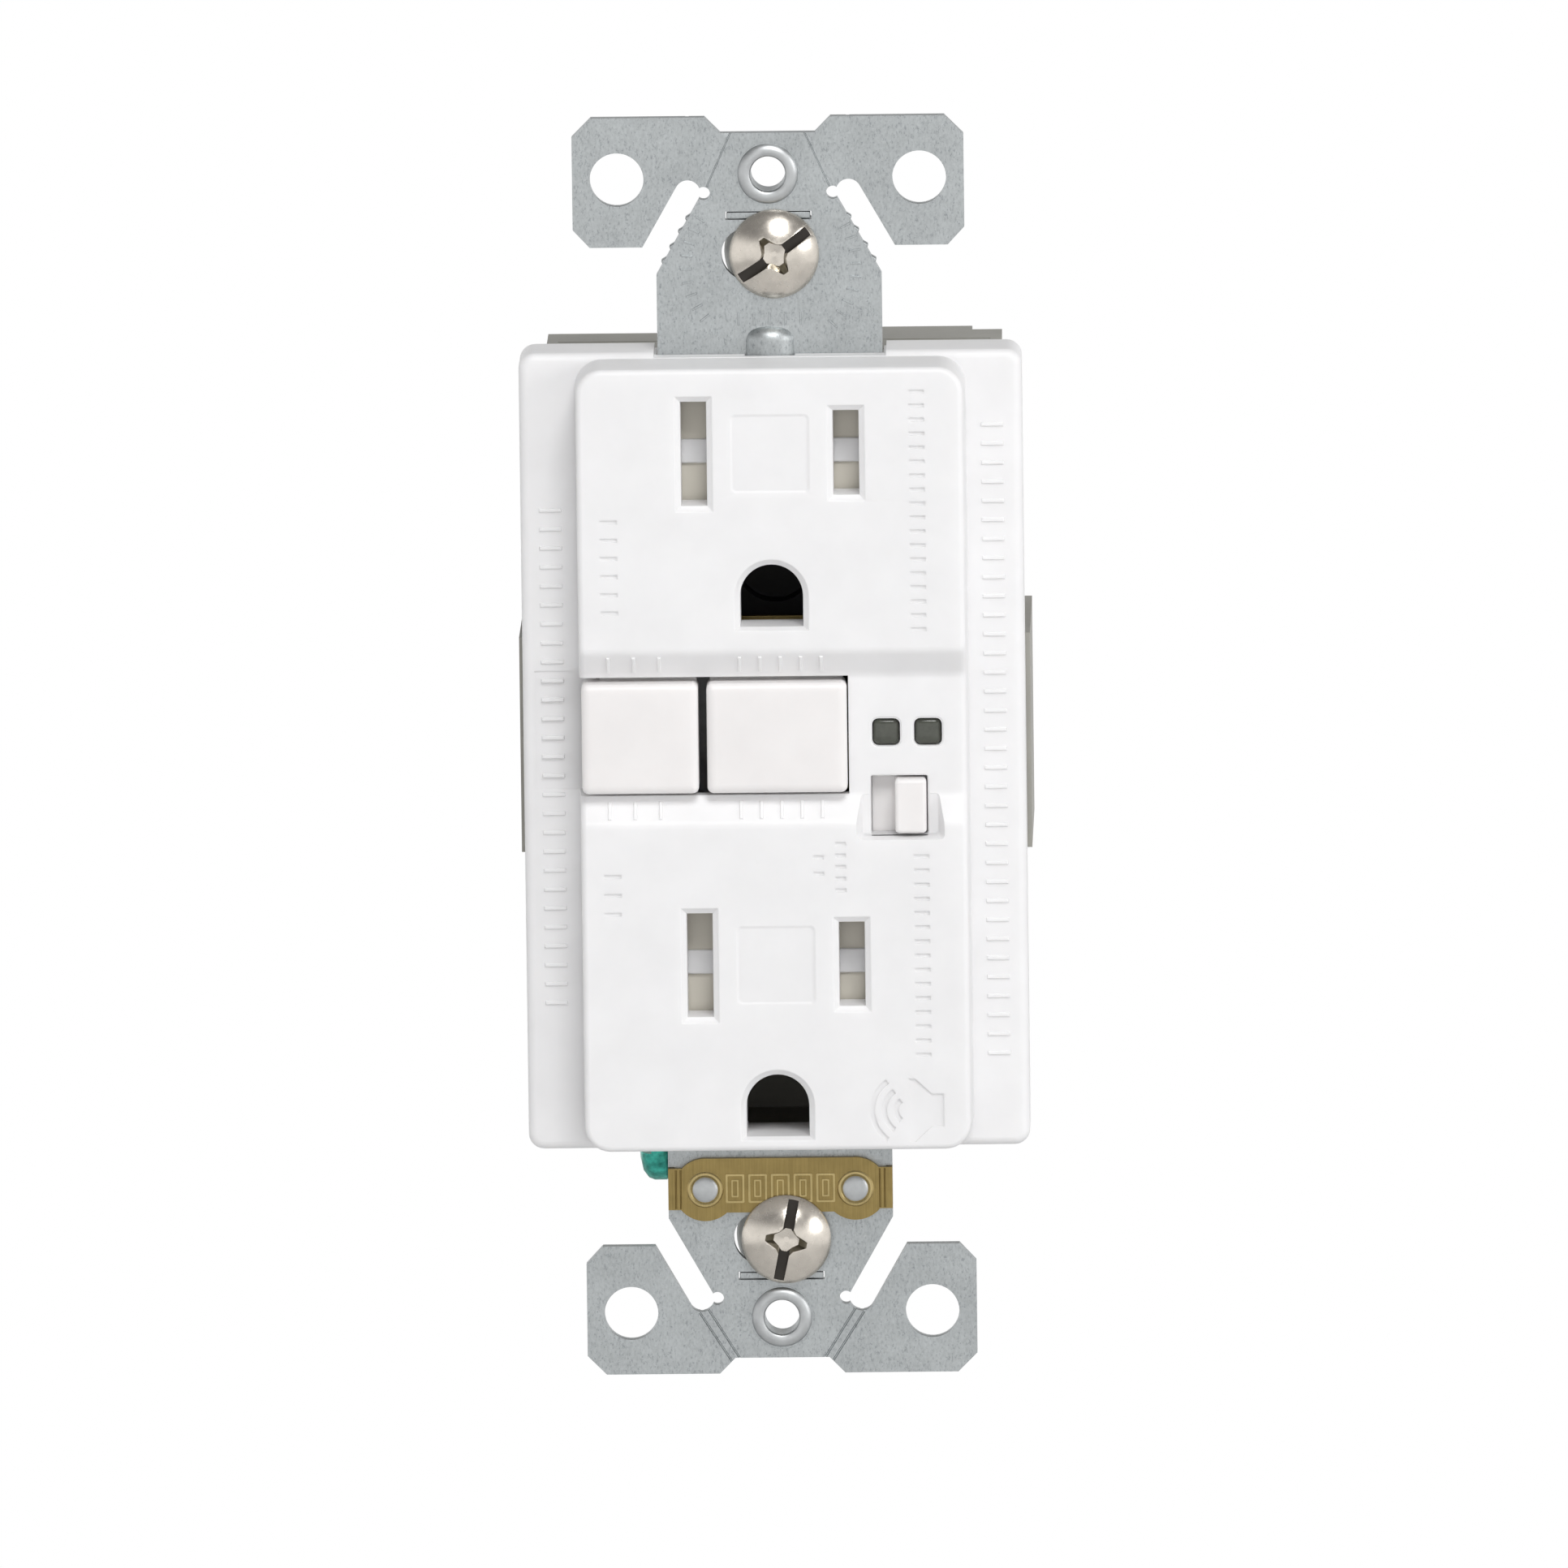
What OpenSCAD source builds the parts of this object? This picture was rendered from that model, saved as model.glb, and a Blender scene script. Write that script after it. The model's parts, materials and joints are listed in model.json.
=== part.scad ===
// Ground-fault receptacle with alarm, on a steel mounting strap.
// Frame: +X to the right of the face, +Z up, the face looks along -Y.
// Origin: rear plane of the strap, midway between the two wall-plate screw holes.

/* [Strap] */
// Overall height of the mounting strap
strap_l = 106.4; // [104:0.2:108]
// Width of the strap across its ears
ear_span = 32.7; // [31:0.1:34]
// Thickness of the strap
strap_t = 1.1; // [1:0.1:1.2]
// Width of the strap where it leaves the cover
neck_w = 18.8; // [18:0.1:19]
// Distance between the wall-plate screw holes
plate_spacing = 96.84; // [96.84:96.84]
// Radius of the wall-plate screw holes
plate_hole_r = 1.45; // [1.4:0.05:1.5]
// Distance between the two box screws
box_spacing = 83.34; // [83.34:83.34]

/* [Face] */
// Width of the raised face
face_w = 32.6; // [32:0.1:33]
// Height of the raised face
face_h = 66.4; // [66:0.1:67]
// Distance of the raised face in front of the strap's rear plane
face_depth = 8.6; // [8.4:0.1:8.8]
// Depth of the valley that the buttons stand in
valley_depth = 1.55; // [1.4:0.05:1.7]
// Distance of each blade slot from the centre line
blade_x = 6.35; // [6.35:6.35]

/* [Cover and housing] */
// Width of the cover's shoulder
shoulder_w = 42.0; // [41.6:0.1:42.4]
// Height of the cover's shoulder
shoulder_h = 67.4; // [67:0.1:68]
// Wall thickness of the cover
cover_wall = 1.4; // [1.3:0.1:1.5]
// Width of the rear housing
housing_w = 38.2; // [38:0.1:38.4]
// Height of the rear housing
housing_h = 62.8; // [62.4:0.1:63]
// Depth of the rear housing behind the strap
housing_depth = 26.6; // [26.6:0.2:28]

/* [Terminals] */
// Height of the terminal screws above and below the centre
terminal_z = 18.2; // [18:0.1:18.4]
// Distance of the terminal screws behind the strap
terminal_y = 14.0; // [13.8:0.1:14.2]
// Radius of a terminal screw's shank
terminal_r = 2.05; // [2:0.05:2.05]

/* [Hidden] */

$fn = 48;
cut = 0.1;

// Face
valley_top = 6.96;
valley_low = -3.16;
valley_run = 2.24;
outlet_z = [25.9, -17.3];
ground_z = [13.87, -29.25];
ground_r = 2.615;
slot_w = 2.15;
neutral_slot_h = 8.75;
hot_slot_h = 7.1;
lens_z = 2.07;
lens_x = [9.4, 12.9];
button_z = [-2.77, 6.51];
button_y = -4.8;
test_x = [-16.0, -6.25];
reset_x = [-5.55, 6.15];
flange_z = [-3.7, 7.5];
pin_x = 0.3;
pin_z = 1.9;
pin_r = 1.4;
test_pin_x = -10.6;
shoulder_y = -3.0;
rim_y = 3.0;
face_ceiling = -face_depth + cover_wall;
valley_ceiling = -face_depth + valley_depth + cover_wall;
alarm_z = [-6.5, -1.6];
shutter_x = [-11.0, 8.6];
shutter_y = [-4.4, -2.6];
shutter_ridge = -4.7;
shutter_half = 5.0;
shutter_travel = 2.8;
collar_wall = 0.8;

// Housing
corner_x = 14.9;
corner_z = 28.6;
bay_z = [9.6, 26.4];
bay_x = 14.6;
bay_y = [3.2, 21.2];
floor_y = 24.8;
frame_floor = [10.1, 11.3];
board_y = [15.0, 16.6];
solenoid_y = 20.7;
core_z = -17;
arm_x = 6.6;
arm_y = [12.9, 13.4];
arm_pivot_z = -13;
latch_top = 6.2;
coil_z = [11.6, 20.1];
flange_t = 0.8;
plunger_head_z = 7.5;

// Fasteners
screw_x = 0.45;
screw_r = 1.75;
screw_head_r = 3.75;
screw_tip = 17.9;
screw_neck_r = 1.25;
retainer_y = [0.9, 1.6];
neck_end = retainer_y[1] + 0.1;
clip_t = 0.6;
clip_rivet = [6.3, -37.45];
ground_screw_pos = [-8.3, 6.6, -34.8];

white = "white";
zinc = [0.66, 0.69, 0.71];
nickel = [0.78, 0.76, 0.72];
brass = [0.72, 0.6, 0.3];
grey = [0.42, 0.43, 0.4];

// A flat outline in X and Z, thick from y0 to y1
module plate_xz(y0, y1)
    translate([0, y1, 0]) rotate([90, 0, 0]) linear_extrude(height = y1 - y0) children();

// A flat outline in Y and Z, thick from x0 to x1
module plate_yz(x0, x1)
    translate([x0, 0, 0]) rotate([90, 0, 90]) linear_extrude(height = x1 - x0) children();

// The span of a width that lies half each side of a middle
function around(middle, half) = [middle - half, middle + half];

module box3(x, y, z) translate([x[0], y[0], z[0]]) cube([x[1] - x[0], y[1] - y[0], z[1] - z[0]]);

module rod_x(x, y, z, r) translate([x[0], y, z]) rotate([0, 90, 0]) cylinder(h = x[1] - x[0], r = r);

module rod_y(x, y, z, r) translate([x, y[1], z]) rotate([90, 0, 0]) cylinder(h = y[1] - y[0], r = r);

module rod_z(x, y, z, r) translate([x, y, z[0]]) cylinder(h = z[1] - z[0], r = r);

module round_rect(w, h, r) {
    square([w - 2 * r, h], center = true);
    square([w, h - 2 * r], center = true);
    for (sx = [-1, 1], sy = [-1, 1])
        translate([sx * (w / 2 - r), sy * (h / 2 - r)]) circle(r = r);
}

module both_sides() for (s = [0, 1]) mirror([s, 0, 0]) children();

module both_ends() for (s = [0, 1]) mirror([0, 0, s]) children();

// A coil spring along +Z from the origin, swept round its own helix
module coil_spring(coil_r, wire_r, turns, length) {
    sides = 6;
    steps = 10;
    rings = turns * steps;
    points = [for (i = [0 : rings]) let (a = 360 * i / steps, z = wire_r + (length - 2 * wire_r) * i / rings)
        for (j = [0 : sides - 1]) let (b = 360 * j / sides, r = coil_r + wire_r * cos(b))
            [r * cos(a), r * sin(a), z + wire_r * sin(b)]];
    sides_faces = [for (i = [0 : rings - 1], j = [0 : sides - 1]) let (k = (j + 1) % sides)
        [i * sides + j, (i + 1) * sides + j, (i + 1) * sides + k, i * sides + k]];
    start = [for (j = [0 : sides - 1]) j];
    finish = [for (j = [sides - 1 : -1 : 0]) rings * sides + j];
    polyhedron(points = points, faces = concat(sides_faces, [start, finish]));
}

// ---- Cover and what shows on the face ----

module ground_hole_2d(r = ground_r) {
    circle(r = r);
    translate([-r, -r]) square([2 * r, r]);
}

module front_cover() color(white) difference() {
    union() {
        plate_xz(shoulder_y, rim_y) round_rect(shoulder_w, shoulder_h, 1.3);
        difference() {
            plate_xz(-face_depth, shoulder_y) round_rect(face_w, face_h, 2.3);
            valley();
        }
    }
    cover_cavity();
    // Openings in the face
    for (z = outlet_z) {
        plate_xz(-face_depth - cut, 0) translate([-blade_x, z]) square([slot_w, neutral_slot_h], center = true);
        plate_xz(-face_depth - cut, 0) translate([blade_x, z]) square([slot_w, hot_slot_h], center = true);
        plate_xz(-face_depth - cut, -face_depth + 0.3) translate([0, z]) square(6.4, center = true);
    }
    for (z = ground_z) plate_xz(-face_depth - cut, 0) translate([0, z]) ground_hole_2d();
    for (x = lens_x) plate_xz(-face_depth - cut, 0) translate([x, lens_z]) round_rect(2.3, 2.3, 0.55);
    box3([-face_w, 6.27], [-face_depth - cut, shoulder_y], [-3.1, 6.9]);
    box3([7.15, 13.9], [-face_depth - cut, -face_depth + valley_depth], [-6.7, valley_low]);
    box3([8.1, 12.8], [-face_depth - cut, 0], alarm_z);
    // Ways out for the strap and its stiffening rib
    both_ends() box3([-9.5, 9.5], [-strap_t - 0.05, rim_y + cut], [30, 40]);
    box3([-2.1, 2.1], [-2.2, 0], [30, 40]);
    both_sides() both_ends() rod_y(corner_x, [-5.5, 0.3], corner_z, 1.1);
}

module valley()
    plate_yz(-face_w, face_w) polygon([
        [-face_depth - cut, valley_low - valley_run * (1 + cut / valley_depth)],
        [-face_depth + valley_depth, valley_low],
        [-face_depth + valley_depth, valley_top],
        [-face_depth - cut, valley_top + valley_run * (1 + cut / valley_depth)]]);

module cover_cavity() difference() {
    union() {
        box3([-19.4, 19.4], [-1.6, rim_y + cut], [-31.7, 31.7]);
        both_sides() {
            box3([-cut, 14.9], [face_ceiling, 0], [10.4, 31.7]);
            box3([-cut, 14.9], [face_ceiling, 0], [-31.7, -6.6]);
            box3([-cut, 14.9], [valley_ceiling, 0], [-7, 11]);
        }
    }
    both_sides() both_ends() rod_y(corner_x, [-8, 0], corner_z, 2.4);
    // Collars that carry the walls of the openings down to the shutters
    for (z = outlet_z) {
        plate_xz(-8, shutter_ridge - 0.1) translate([-blade_x, z])
            square([slot_w + 2 * collar_wall, neutral_slot_h + 2 * collar_wall], center = true);
        plate_xz(-8, shutter_ridge - 0.1) translate([blade_x, z])
            square([slot_w + 2 * collar_wall, hot_slot_h + 2 * collar_wall], center = true);
    }
    for (z = ground_z) plate_xz(-8, -4.2) translate([0, z]) ground_hole_2d(ground_r + collar_wall);
}

module button(x, depth) {
    plate_xz(-face_depth, depth) translate([(x[0] + x[1]) / 2, (button_z[0] + button_z[1]) / 2])
        round_rect(x[1] - x[0], button_z[1] - button_z[0], 0.4);
}

module test_button() color(white) {
    button(test_x, button_y);
    box3([-14.5, -6.4], [-5.5, button_y + 0.2], flange_z);
    rod_y(test_pin_x, [button_y, 12.5], pin_z, 1.0);
}

module reset_button() color(white) {
    button(reset_x, button_y);
    box3([-5.3, 5.85], [-5.5, button_y + 0.2], flange_z);
}

module reset_pin() color(nickel) {
    rod_y(pin_x, [button_y + 0.2, 16.3], pin_z, pin_r);
    rod_y(pin_x, [16.3, 16.9], pin_z, 1.0);
}

module reset_spring() color(nickel)
    translate([pin_x, button_y + 0.2, pin_z]) rotate([-90, 0, 0]) coil_spring(2.3, 0.3, 3, 3.45);

module alarm_slider() color(white) {
    plate_xz(-8.3, -5.0) translate([11.4, -4.05]) round_rect(2.62, 4.56, 0.3);
    box3([8.1, 13.9], [-5.55, -4.9], [-6.9, -1.2]);
    box3([10.8, 12.0], [-4.9, -2.4], [-4.65, -3.45]);
}

module slide_switch_body() color("dimgray") difference() {
    box3([7.6, 13.6], [-3.4, 0.8], [-7.2, -0.9]);
    box3([8.6, 12.3], [-3.5, -2.2], [-4.95, -3.15]);
}

module indicator_lens(x) color([0.35, 0.38, 0.34]) {
    plate_xz(-6.85, -5.4) translate([x, lens_z]) round_rect(2.2, 2.2, 0.5);
    box3(around(x, 0.9), [-5.4, 11.5], around(lens_z, 0.9));
}

module indicator_lens_left() indicator_lens(lens_x[0]);
module indicator_lens_right() indicator_lens(lens_x[1]);

module indicator_leds() color("lightgreen") for (x = lens_x) {
    rod_y(x, [12.2, board_y[0]], lens_z, 1.3);
    translate([x, 12.2, lens_z]) intersection() {
        sphere(r = 1.3);
        box3([-2, 2], [-0.6, 0], [-2, 2]);
    }
}

// Sliding shutter behind one pair of blade slots, drawn shut
module shutter(z) color([0.72, 0.7, 0.66]) difference() {
    union() {
        box3(shutter_x, shutter_y, around(z, shutter_half));
        box3(shutter_x, [shutter_ridge, shutter_y[0]], around(z, 1.02));
    }
    for (s = [-1, 1])
        box3(around(s * blade_x - shutter_travel, 1.2), [-6, 0], around(z, shutter_half - 0.4));
}

module upper_shutter() shutter(outlet_z[0]);
module lower_shutter() shutter(outlet_z[1]);

module shutter_spring(z) color(nickel)
    translate([shutter_x[1] + 0.05, (shutter_y[0] + shutter_y[1]) / 2, z - 2])
        rotate([0, 90, 0]) coil_spring(0.85, 0.2, 5, 6.2);

module upper_shutter_spring() shutter_spring(outlet_z[0]);
module lower_shutter_spring() shutter_spring(outlet_z[1]);

// ---- Strap and grounding parts ----

// One quarter of the strap's outline, with the break-off ear and its slot
module strap_quarter_2d() difference() {
    polygon([
        [0, 0], [0, strap_l / 2 - 1.33], [3.95, strap_l / 2 - 1.33], [5.26, strap_l / 2],
        [ear_span / 2 - 1.6, strap_l / 2], [ear_span / 2, strap_l / 2 - 1.6],
        [ear_span / 2, 43.8], [14.95, 42.3], [10.55, 42.3], [7.7, 47.29], [5.8, 46.29],
        [neck_w / 2, 39.95], [neck_w / 2, 31.2], [4.2, 31.2], [4.2, 0]]);
    translate([6.72, 46.85]) circle(r = 1.07);
    translate([5.4, 46.8]) circle(r = 0.55);
    translate([12.63, 48.0]) circle(r = 2.25);
}

module strap_outline_2d() difference() {
    for (sx = [0, 1], sy = [0, 1]) mirror([sx, 0]) mirror([0, sy]) strap_quarter_2d();
    for (s = [-1, 1]) {
        translate([0, s * box_spacing / 2]) round_rect(7.9, 4.4, 2.19);
        translate([0, s * 44.9]) square([7.2, 0.7], center = true);
        translate([s * (neck_w / 2), -37.4]) square([1.1, 3.6], center = true);
        translate([s * clip_rivet[0], clip_rivet[1]]) circle(r = 0.9);
    }
    for (z = ground_z) {
        translate([0, z]) ground_hole_2d(3.3);
        translate([0, z + 5.2]) circle(r = 0.9);
    }
    translate([pin_x, pin_z]) circle(r = 1.9);
}

module mounting_strap() color(zinc) {
    difference() {
        union() {
            plate_xz(-strap_t, 0) strap_outline_2d();
            both_ends() rod_y(0, [-cut, 1.6], plate_spacing / 2, 2.35);
            // Stiffening rib that runs under the cover
            intersection() {
                rod_z(0, -0.2, [31.3, 35.6], 1.85);
                box3([-2, 2], [-3, -0.5], [31, 36]);
            }
            // Tab for the ground screw
            box3([-neck_w / 2, ground_screw_pos[0]], [-strap_t, 3.0], [-35.0, -31.8]);
            box3([-neck_w / 2, ground_screw_pos[0]], [2.6, 10.6], [-37.9, -31.8]);
        }
        both_ends() rod_y(0, [-2, 3], plate_spacing / 2, plate_hole_r);
        // Score lines that let the ears break off
        both_sides() both_ends() box3(around(6.7, 0.15), [-0.2, cut], [47, 54]);
        rod_x([-12, -6], ground_screw_pos[1], ground_screw_pos[2], 2.1);
    }
}

module ground_contact(z) color(brass) {
    difference() {
        box3([-4.1, 4.1], [0, 0.6], [z - 3.3, z + 6.6]);
        plate_xz(-1, 1) translate([0, z]) ground_hole_2d(2.95);
        rod_y(0, [-1, 1], z + 5.2, 0.9);
    }
    both_sides() box3([2.75, 3.35], [0.1, 7.5], [z - 1.5, z + 1.5]);
}

module ground_contact_upper() ground_contact(ground_z[0]);
module ground_contact_lower() ground_contact(ground_z[1]);

module ground_contact_rivets() color("silver") for (z = ground_z) {
    rod_y(0, [-1.6, 1.1], z + 5.2, 0.9);
    rod_y(0, [-1.6, -strap_t], z + 5.2, 1.6);
    rod_y(0, [0.6, 1.1], z + 5.2, 1.6);
}

module clip_outline_2d() difference() {
    union() {
        polygon([[-6.6, -34.8], [6.6, -34.8], [6.6, -35.65], [neck_w / 2, -35.65],
            [neck_w / 2, -39.15], [6.6, -39.15], [6.6, -39.4], [-6.6, -39.4], [-6.6, -39.15],
            [-neck_w / 2, -39.15], [-neck_w / 2, -35.65], [-6.6, -35.65]]);
        for (s = [-1, 1]) translate([s * clip_rivet[0], clip_rivet[1]]) circle(r = 2.66);
    }
    for (s = [-1, 1]) translate([s * clip_rivet[0], clip_rivet[1]]) circle(r = 0.9);
}

module bonding_clip() color(brass) {
    plate_xz(-strap_t - clip_t, -strap_t) clip_outline_2d();
    both_sides() box3([8.85, neck_w / 2], [-strap_t - cut, 0.6], [-39.15, -35.65]);
}

module bonding_clip_rivets() color("silver") both_sides() {
    rod_y(clip_rivet[0], [-2.2, 0.5], clip_rivet[1], 0.9);
    rod_y(clip_rivet[0], [-2.2, -strap_t - clip_t], clip_rivet[1], 1.08);
    rod_y(clip_rivet[0], [0, 0.5], clip_rivet[1], 1.5);
}

module ground_screw() color("seagreen") difference() {
    union() {
        rod_x([-11.9, -9.45], ground_screw_pos[1], ground_screw_pos[2], 3.1);
        rod_x([-10, -5.6], ground_screw_pos[1], ground_screw_pos[2], 2.03);
    }
    box3([-12, -11.0], around(ground_screw_pos[1], 4), around(ground_screw_pos[2], 0.45));
}

// ---- Screws that hold the outlet in its box ----

module mounting_screw(head_y) color(nickel) {
    difference() {
        intersection() {
            translate([0, head_y + 3.3, 0]) sphere(r = 5.0);
            rod_y(0, [head_y - 1.8, head_y], 0, screw_head_r);
        }
        box3([-4, 4], [head_y - 2, head_y - 0.9], [-0.42, 0.42]);
        box3([-0.95, 0.95], [head_y - 2, head_y - 0.4], [-0.95, 0.95]);
    }
    rod_y(0, [head_y - 0.3, neck_end], 0, screw_neck_r);
    rod_y(0, [neck_end, screw_tip], 0, screw_r);
}

upper_head_y = -strap_t - 0.03;
lower_head_y = -strap_t - clip_t - 0.03;

module mounting_screw_upper()
    translate([screw_x, 0, box_spacing / 2]) rotate([0, -35, 0]) mounting_screw(upper_head_y);
module mounting_screw_lower()
    translate([screw_x, 0, -box_spacing / 2]) rotate([0, -78.7, 0]) mounting_screw(lower_head_y);

module screw_retainer(z) color(white) difference() {
    rod_y(screw_x, retainer_y, z, 4.2);
    rod_y(screw_x, [0, 3], z, 1.8);
}

module screw_retainer_upper() screw_retainer(box_spacing / 2);
module screw_retainer_lower() screw_retainer(-box_spacing / 2);

// ---- Rear housing ----

module rear_housing() color(grey) difference() {
    union() {
        box3([-housing_w / 2, housing_w / 2], [0, housing_depth], [-housing_h / 2, housing_h / 2]);
        box3([-21.4, 21.4], [rim_y + 0.2, 23.6], [-9.4, 8.8]);
        box3([-5.4, 5.4], [0, 12.4], [-33.4, -31]);
    }
    both_ends() {
        box3([-13.2, 13.2], [-cut, floor_y], [0, 24.0]);
        box3([-12.0, 12.0], [-cut, floor_y], [0, 29.8]);
        box3([-17.5, 17.5], [-cut, floor_y], [0, 8.0]);
    }
    box3([-4.6, 4.6], [-cut, 11.2], [-32.6, -29]);
    both_sides() both_ends() {
        box3([bay_x, 25], bay_y, bay_z);
        // Way through the bay wall for the terminal's lug
        box3([13, bay_x + cut], [-cut, 9.45], [terminal_z - 3.1, terminal_z + 3.1]);
        rod_x([13, bay_x + cut], terminal_y, terminal_z, 2.5);
        for (dz = [-4, 4]) plate_xz(bay_y[1] - cut, housing_depth + cut)
            translate([16.95, terminal_z + dz]) round_rect(3.0, 3.8, 1.4);
        rod_y(corner_x, [-cut, 30], corner_z, 1.35);
        rod_y(corner_x, [floor_y - 0.4, 30], corner_z, 2.5);
    }
}

module housing_screws() color("silver") both_sides() both_ends() {
    rod_y(corner_x, [-5.0, floor_y - 0.4], corner_z, 1.05);
    difference() {
        rod_y(corner_x, [floor_y - 0.4, 26.2], corner_z, 2.3);
        box3(around(corner_x, 1.4), [25.2, 27], around(corner_z, 0.3));
        box3(around(corner_x, 0.3), [25.2, 27], around(corner_z, 1.4));
    }
}

// ---- Terminals, drawn at the upper right and mirrored to their places ----

module at_terminal(side, end) mirror([side < 0 ? 1 : 0, 0, 0]) mirror([0, 0, end < 0 ? 1 : 0]) children();

module terminal_plate(metal) color(metal) difference() {
    union() {
        box3([bay_x, bay_x + 1.1], [8.3, 20.4], [terminal_z - 6.5, terminal_z + 6.5]);
        box3([8.9, bay_x + 0.5], [8.3, 9.4], [terminal_z - 3, terminal_z + 3]);
    }
    rod_x([bay_x - 1, bay_x + 2], terminal_y, terminal_z, terminal_r + 0.07);
}

module terminal_clamp(metal) color(metal) difference() {
    box3([16.0, 17.1], [9.2, 18.8], [terminal_z - 4.9, terminal_z + 4.9]);
    rod_x([15, 18], terminal_y, terminal_z, terminal_r + 0.25);
    for (dz = [-3.6, 3.6]) box3([15.9, 16.3], [9, 19], around(terminal_z + dz, 0.6));
}

module terminal_screw(metal) color(metal) difference() {
    union() {
        rod_x([17.2, 19.3], terminal_y, terminal_z, 3.9);
        rod_x([9.8, 18], terminal_y, terminal_z, terminal_r);
    }
    box3([18.3, 20], around(terminal_y, 5), around(terminal_z, 0.5));
    box3([18.1, 20], around(terminal_y, 1), around(terminal_z, 1));
}

module load_hot_plate() at_terminal(1, 1) terminal_plate(brass);
module load_neutral_plate() at_terminal(-1, 1) terminal_plate("silver");
module line_hot_plate() at_terminal(1, -1) terminal_plate(brass);
module line_neutral_plate() at_terminal(-1, -1) terminal_plate("silver");
module load_hot_clamp() at_terminal(1, 1) terminal_clamp(brass);
module load_neutral_clamp() at_terminal(-1, 1) terminal_clamp("silver");
module line_hot_clamp() at_terminal(1, -1) terminal_clamp(brass);
module line_neutral_clamp() at_terminal(-1, -1) terminal_clamp("silver");
module load_hot_screw() at_terminal(1, 1) terminal_screw(brass);
module load_neutral_screw() at_terminal(-1, 1) terminal_screw("silver");
module line_hot_screw() at_terminal(1, -1) terminal_screw(brass);
module line_neutral_screw() at_terminal(-1, -1) terminal_screw("silver");

// ---- Contacts ----

// Contact bar that grips one blade of each plug, drawn for the right side
module contact_bar() difference() {
    union() {
        box3([4.9, 7.8], [9.4, 10.1], [-21.5, 29.6]);
        box3([7.7, 12.0], [9.4, 10.1], [15.5, 20.9]);
        for (z = outlet_z, x = [blade_x - 1.3, blade_x + 0.7])
            box3([x, x + 0.6], [0.6, 9.5], [z - 3.3, z + 3.3]);
    }
    rod_y(arm_x, [9, 11], 12, 0.8);
}

module hot_contact_bar() color(brass) contact_bar();
module neutral_contact_bar() color("silver") mirror([1, 0, 0]) contact_bar();

// Moving arm that closes the circuit, drawn for the right side
module contact_arm() {
    box3(around(arm_x, 1.3), arm_y, [-14.0, 7.4]);
    rod_x(around(arm_x, 1.3), arm_y[0] + 0.3, arm_pivot_z, 0.7);
    rod_y(arm_x, [11.9, 13.0], 6.0, 1.1);
}

module hot_contact_arm() color(brass) contact_arm();
module neutral_contact_arm() color(brass) mirror([1, 0, 0]) contact_arm();

module inner_frame() color([0.3, 0.3, 0.32]) difference() {
    union() {
        box3([-11.8, 11.8], frame_floor, [-29.4, 29.4]);
        // Cup behind the upper ground opening
        rod_y(0, [frame_floor[1] - cut, 13.4], ground_z[0], 4.1);
        both_sides() box3([3.5, 4.4], [0.8, frame_floor[0] + cut], [-25.5, 29.4]);
        both_sides() box3([3.5, 11.0], [3.0, frame_floor[0] + cut], [9.0, 9.8]);
        both_sides() box3([3.5, 11.0], [3.0, frame_floor[0] + cut], [-9.8, -9.0]);
    }
    for (z = ground_z) rod_y(0, [0, 12.6], z, 3.3);
    box3([4.4, 8.2], [9, 10.1], [-22, 30.5]);
    mirror([1, 0, 0]) box3([4.4, 8.2], [9, 10.1], [-22, 30.5]);
    rod_y(pin_x, [0, 12], pin_z, 1.8);
    both_sides() box3(around(arm_x, 1.6), [9, 12], [4.2, 8.4]);
    rod_y(test_pin_x, [0, 12], pin_z, 1.3);
    for (x = lens_x) box3(around(x, 1.1), [0, 12], around(lens_z, 1.1));
}

module contact_lifter() color("tan") difference() {
    union() {
        box3([-7.9, 7.9], [13.65, 14.75], [0.2, 1.8]);
        rod_y(pin_x, [12.6, 14.75], pin_z, 2.7);
    }
    rod_y(pin_x, [11, 16], pin_z, 1.5);
}

module latch_plate() color("silver") difference() {
    union() {
        box3([-2.6, 3.2], [17.2, 17.8], [-1.6, latch_top]);
        box3([-1.2, 1.8], [17.2, 22.0], [latch_top - 0.6, latch_top]);
    }
    box3(around(pin_x, 1.7), [17, 18], [pin_z - 1.6, pin_z + 3.2]);
}

// ---- Solenoid that trips the latch ----

module solenoid_bobbin() color("ivory") difference() {
    union() {
        rod_z(pin_x, solenoid_y, coil_z + [-flange_t, flange_t], 1.95);
        rod_z(pin_x, solenoid_y, [coil_z[0] - flange_t, coil_z[0]], 3.9);
        rod_z(pin_x, solenoid_y, [coil_z[1], coil_z[1] + flange_t], 3.9);
    }
    rod_z(pin_x, solenoid_y, [coil_z[0] - 1, coil_z[1] - 0.5], 1.66);
}

module solenoid_coil() color("orange") difference() {
    rod_z(pin_x, solenoid_y, coil_z, 3.7);
    rod_z(pin_x, solenoid_y, coil_z + [-1, 1], 1.95);
}

module plunger() color("silver") {
    rod_z(pin_x, solenoid_y, [plunger_head_z, plunger_head_z + 10], 1.6);
    rod_z(pin_x, solenoid_y, [plunger_head_z, plunger_head_z + 0.6], 2.5);
    rod_z(pin_x, solenoid_y, [latch_top + 0.05, plunger_head_z + 0.1], 1.0);
}

module plunger_spring() color(nickel)
    translate([pin_x, solenoid_y, plunger_head_z + 0.62])
        coil_spring(2.1, 0.2, 4, coil_z[0] - flange_t - plunger_head_z - 0.64);

// ---- Circuit board and what it carries ----

module circuit_board() color("darkgreen") difference() {
    box3([-12.9, 12.9], board_y, [-23.6, 23.6]);
    both_sides() both_ends() box3([9.3, 14], [14, 18], around(terminal_z, 2.6));
    box3([-5.5, 6.0], [14, 18], [-4.0, 7.2]);
    rod_y(1.0, [14, 18], core_z, 0.75);
    rod_y(-1.0, [14, 18], core_z, 0.75);
}

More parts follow.
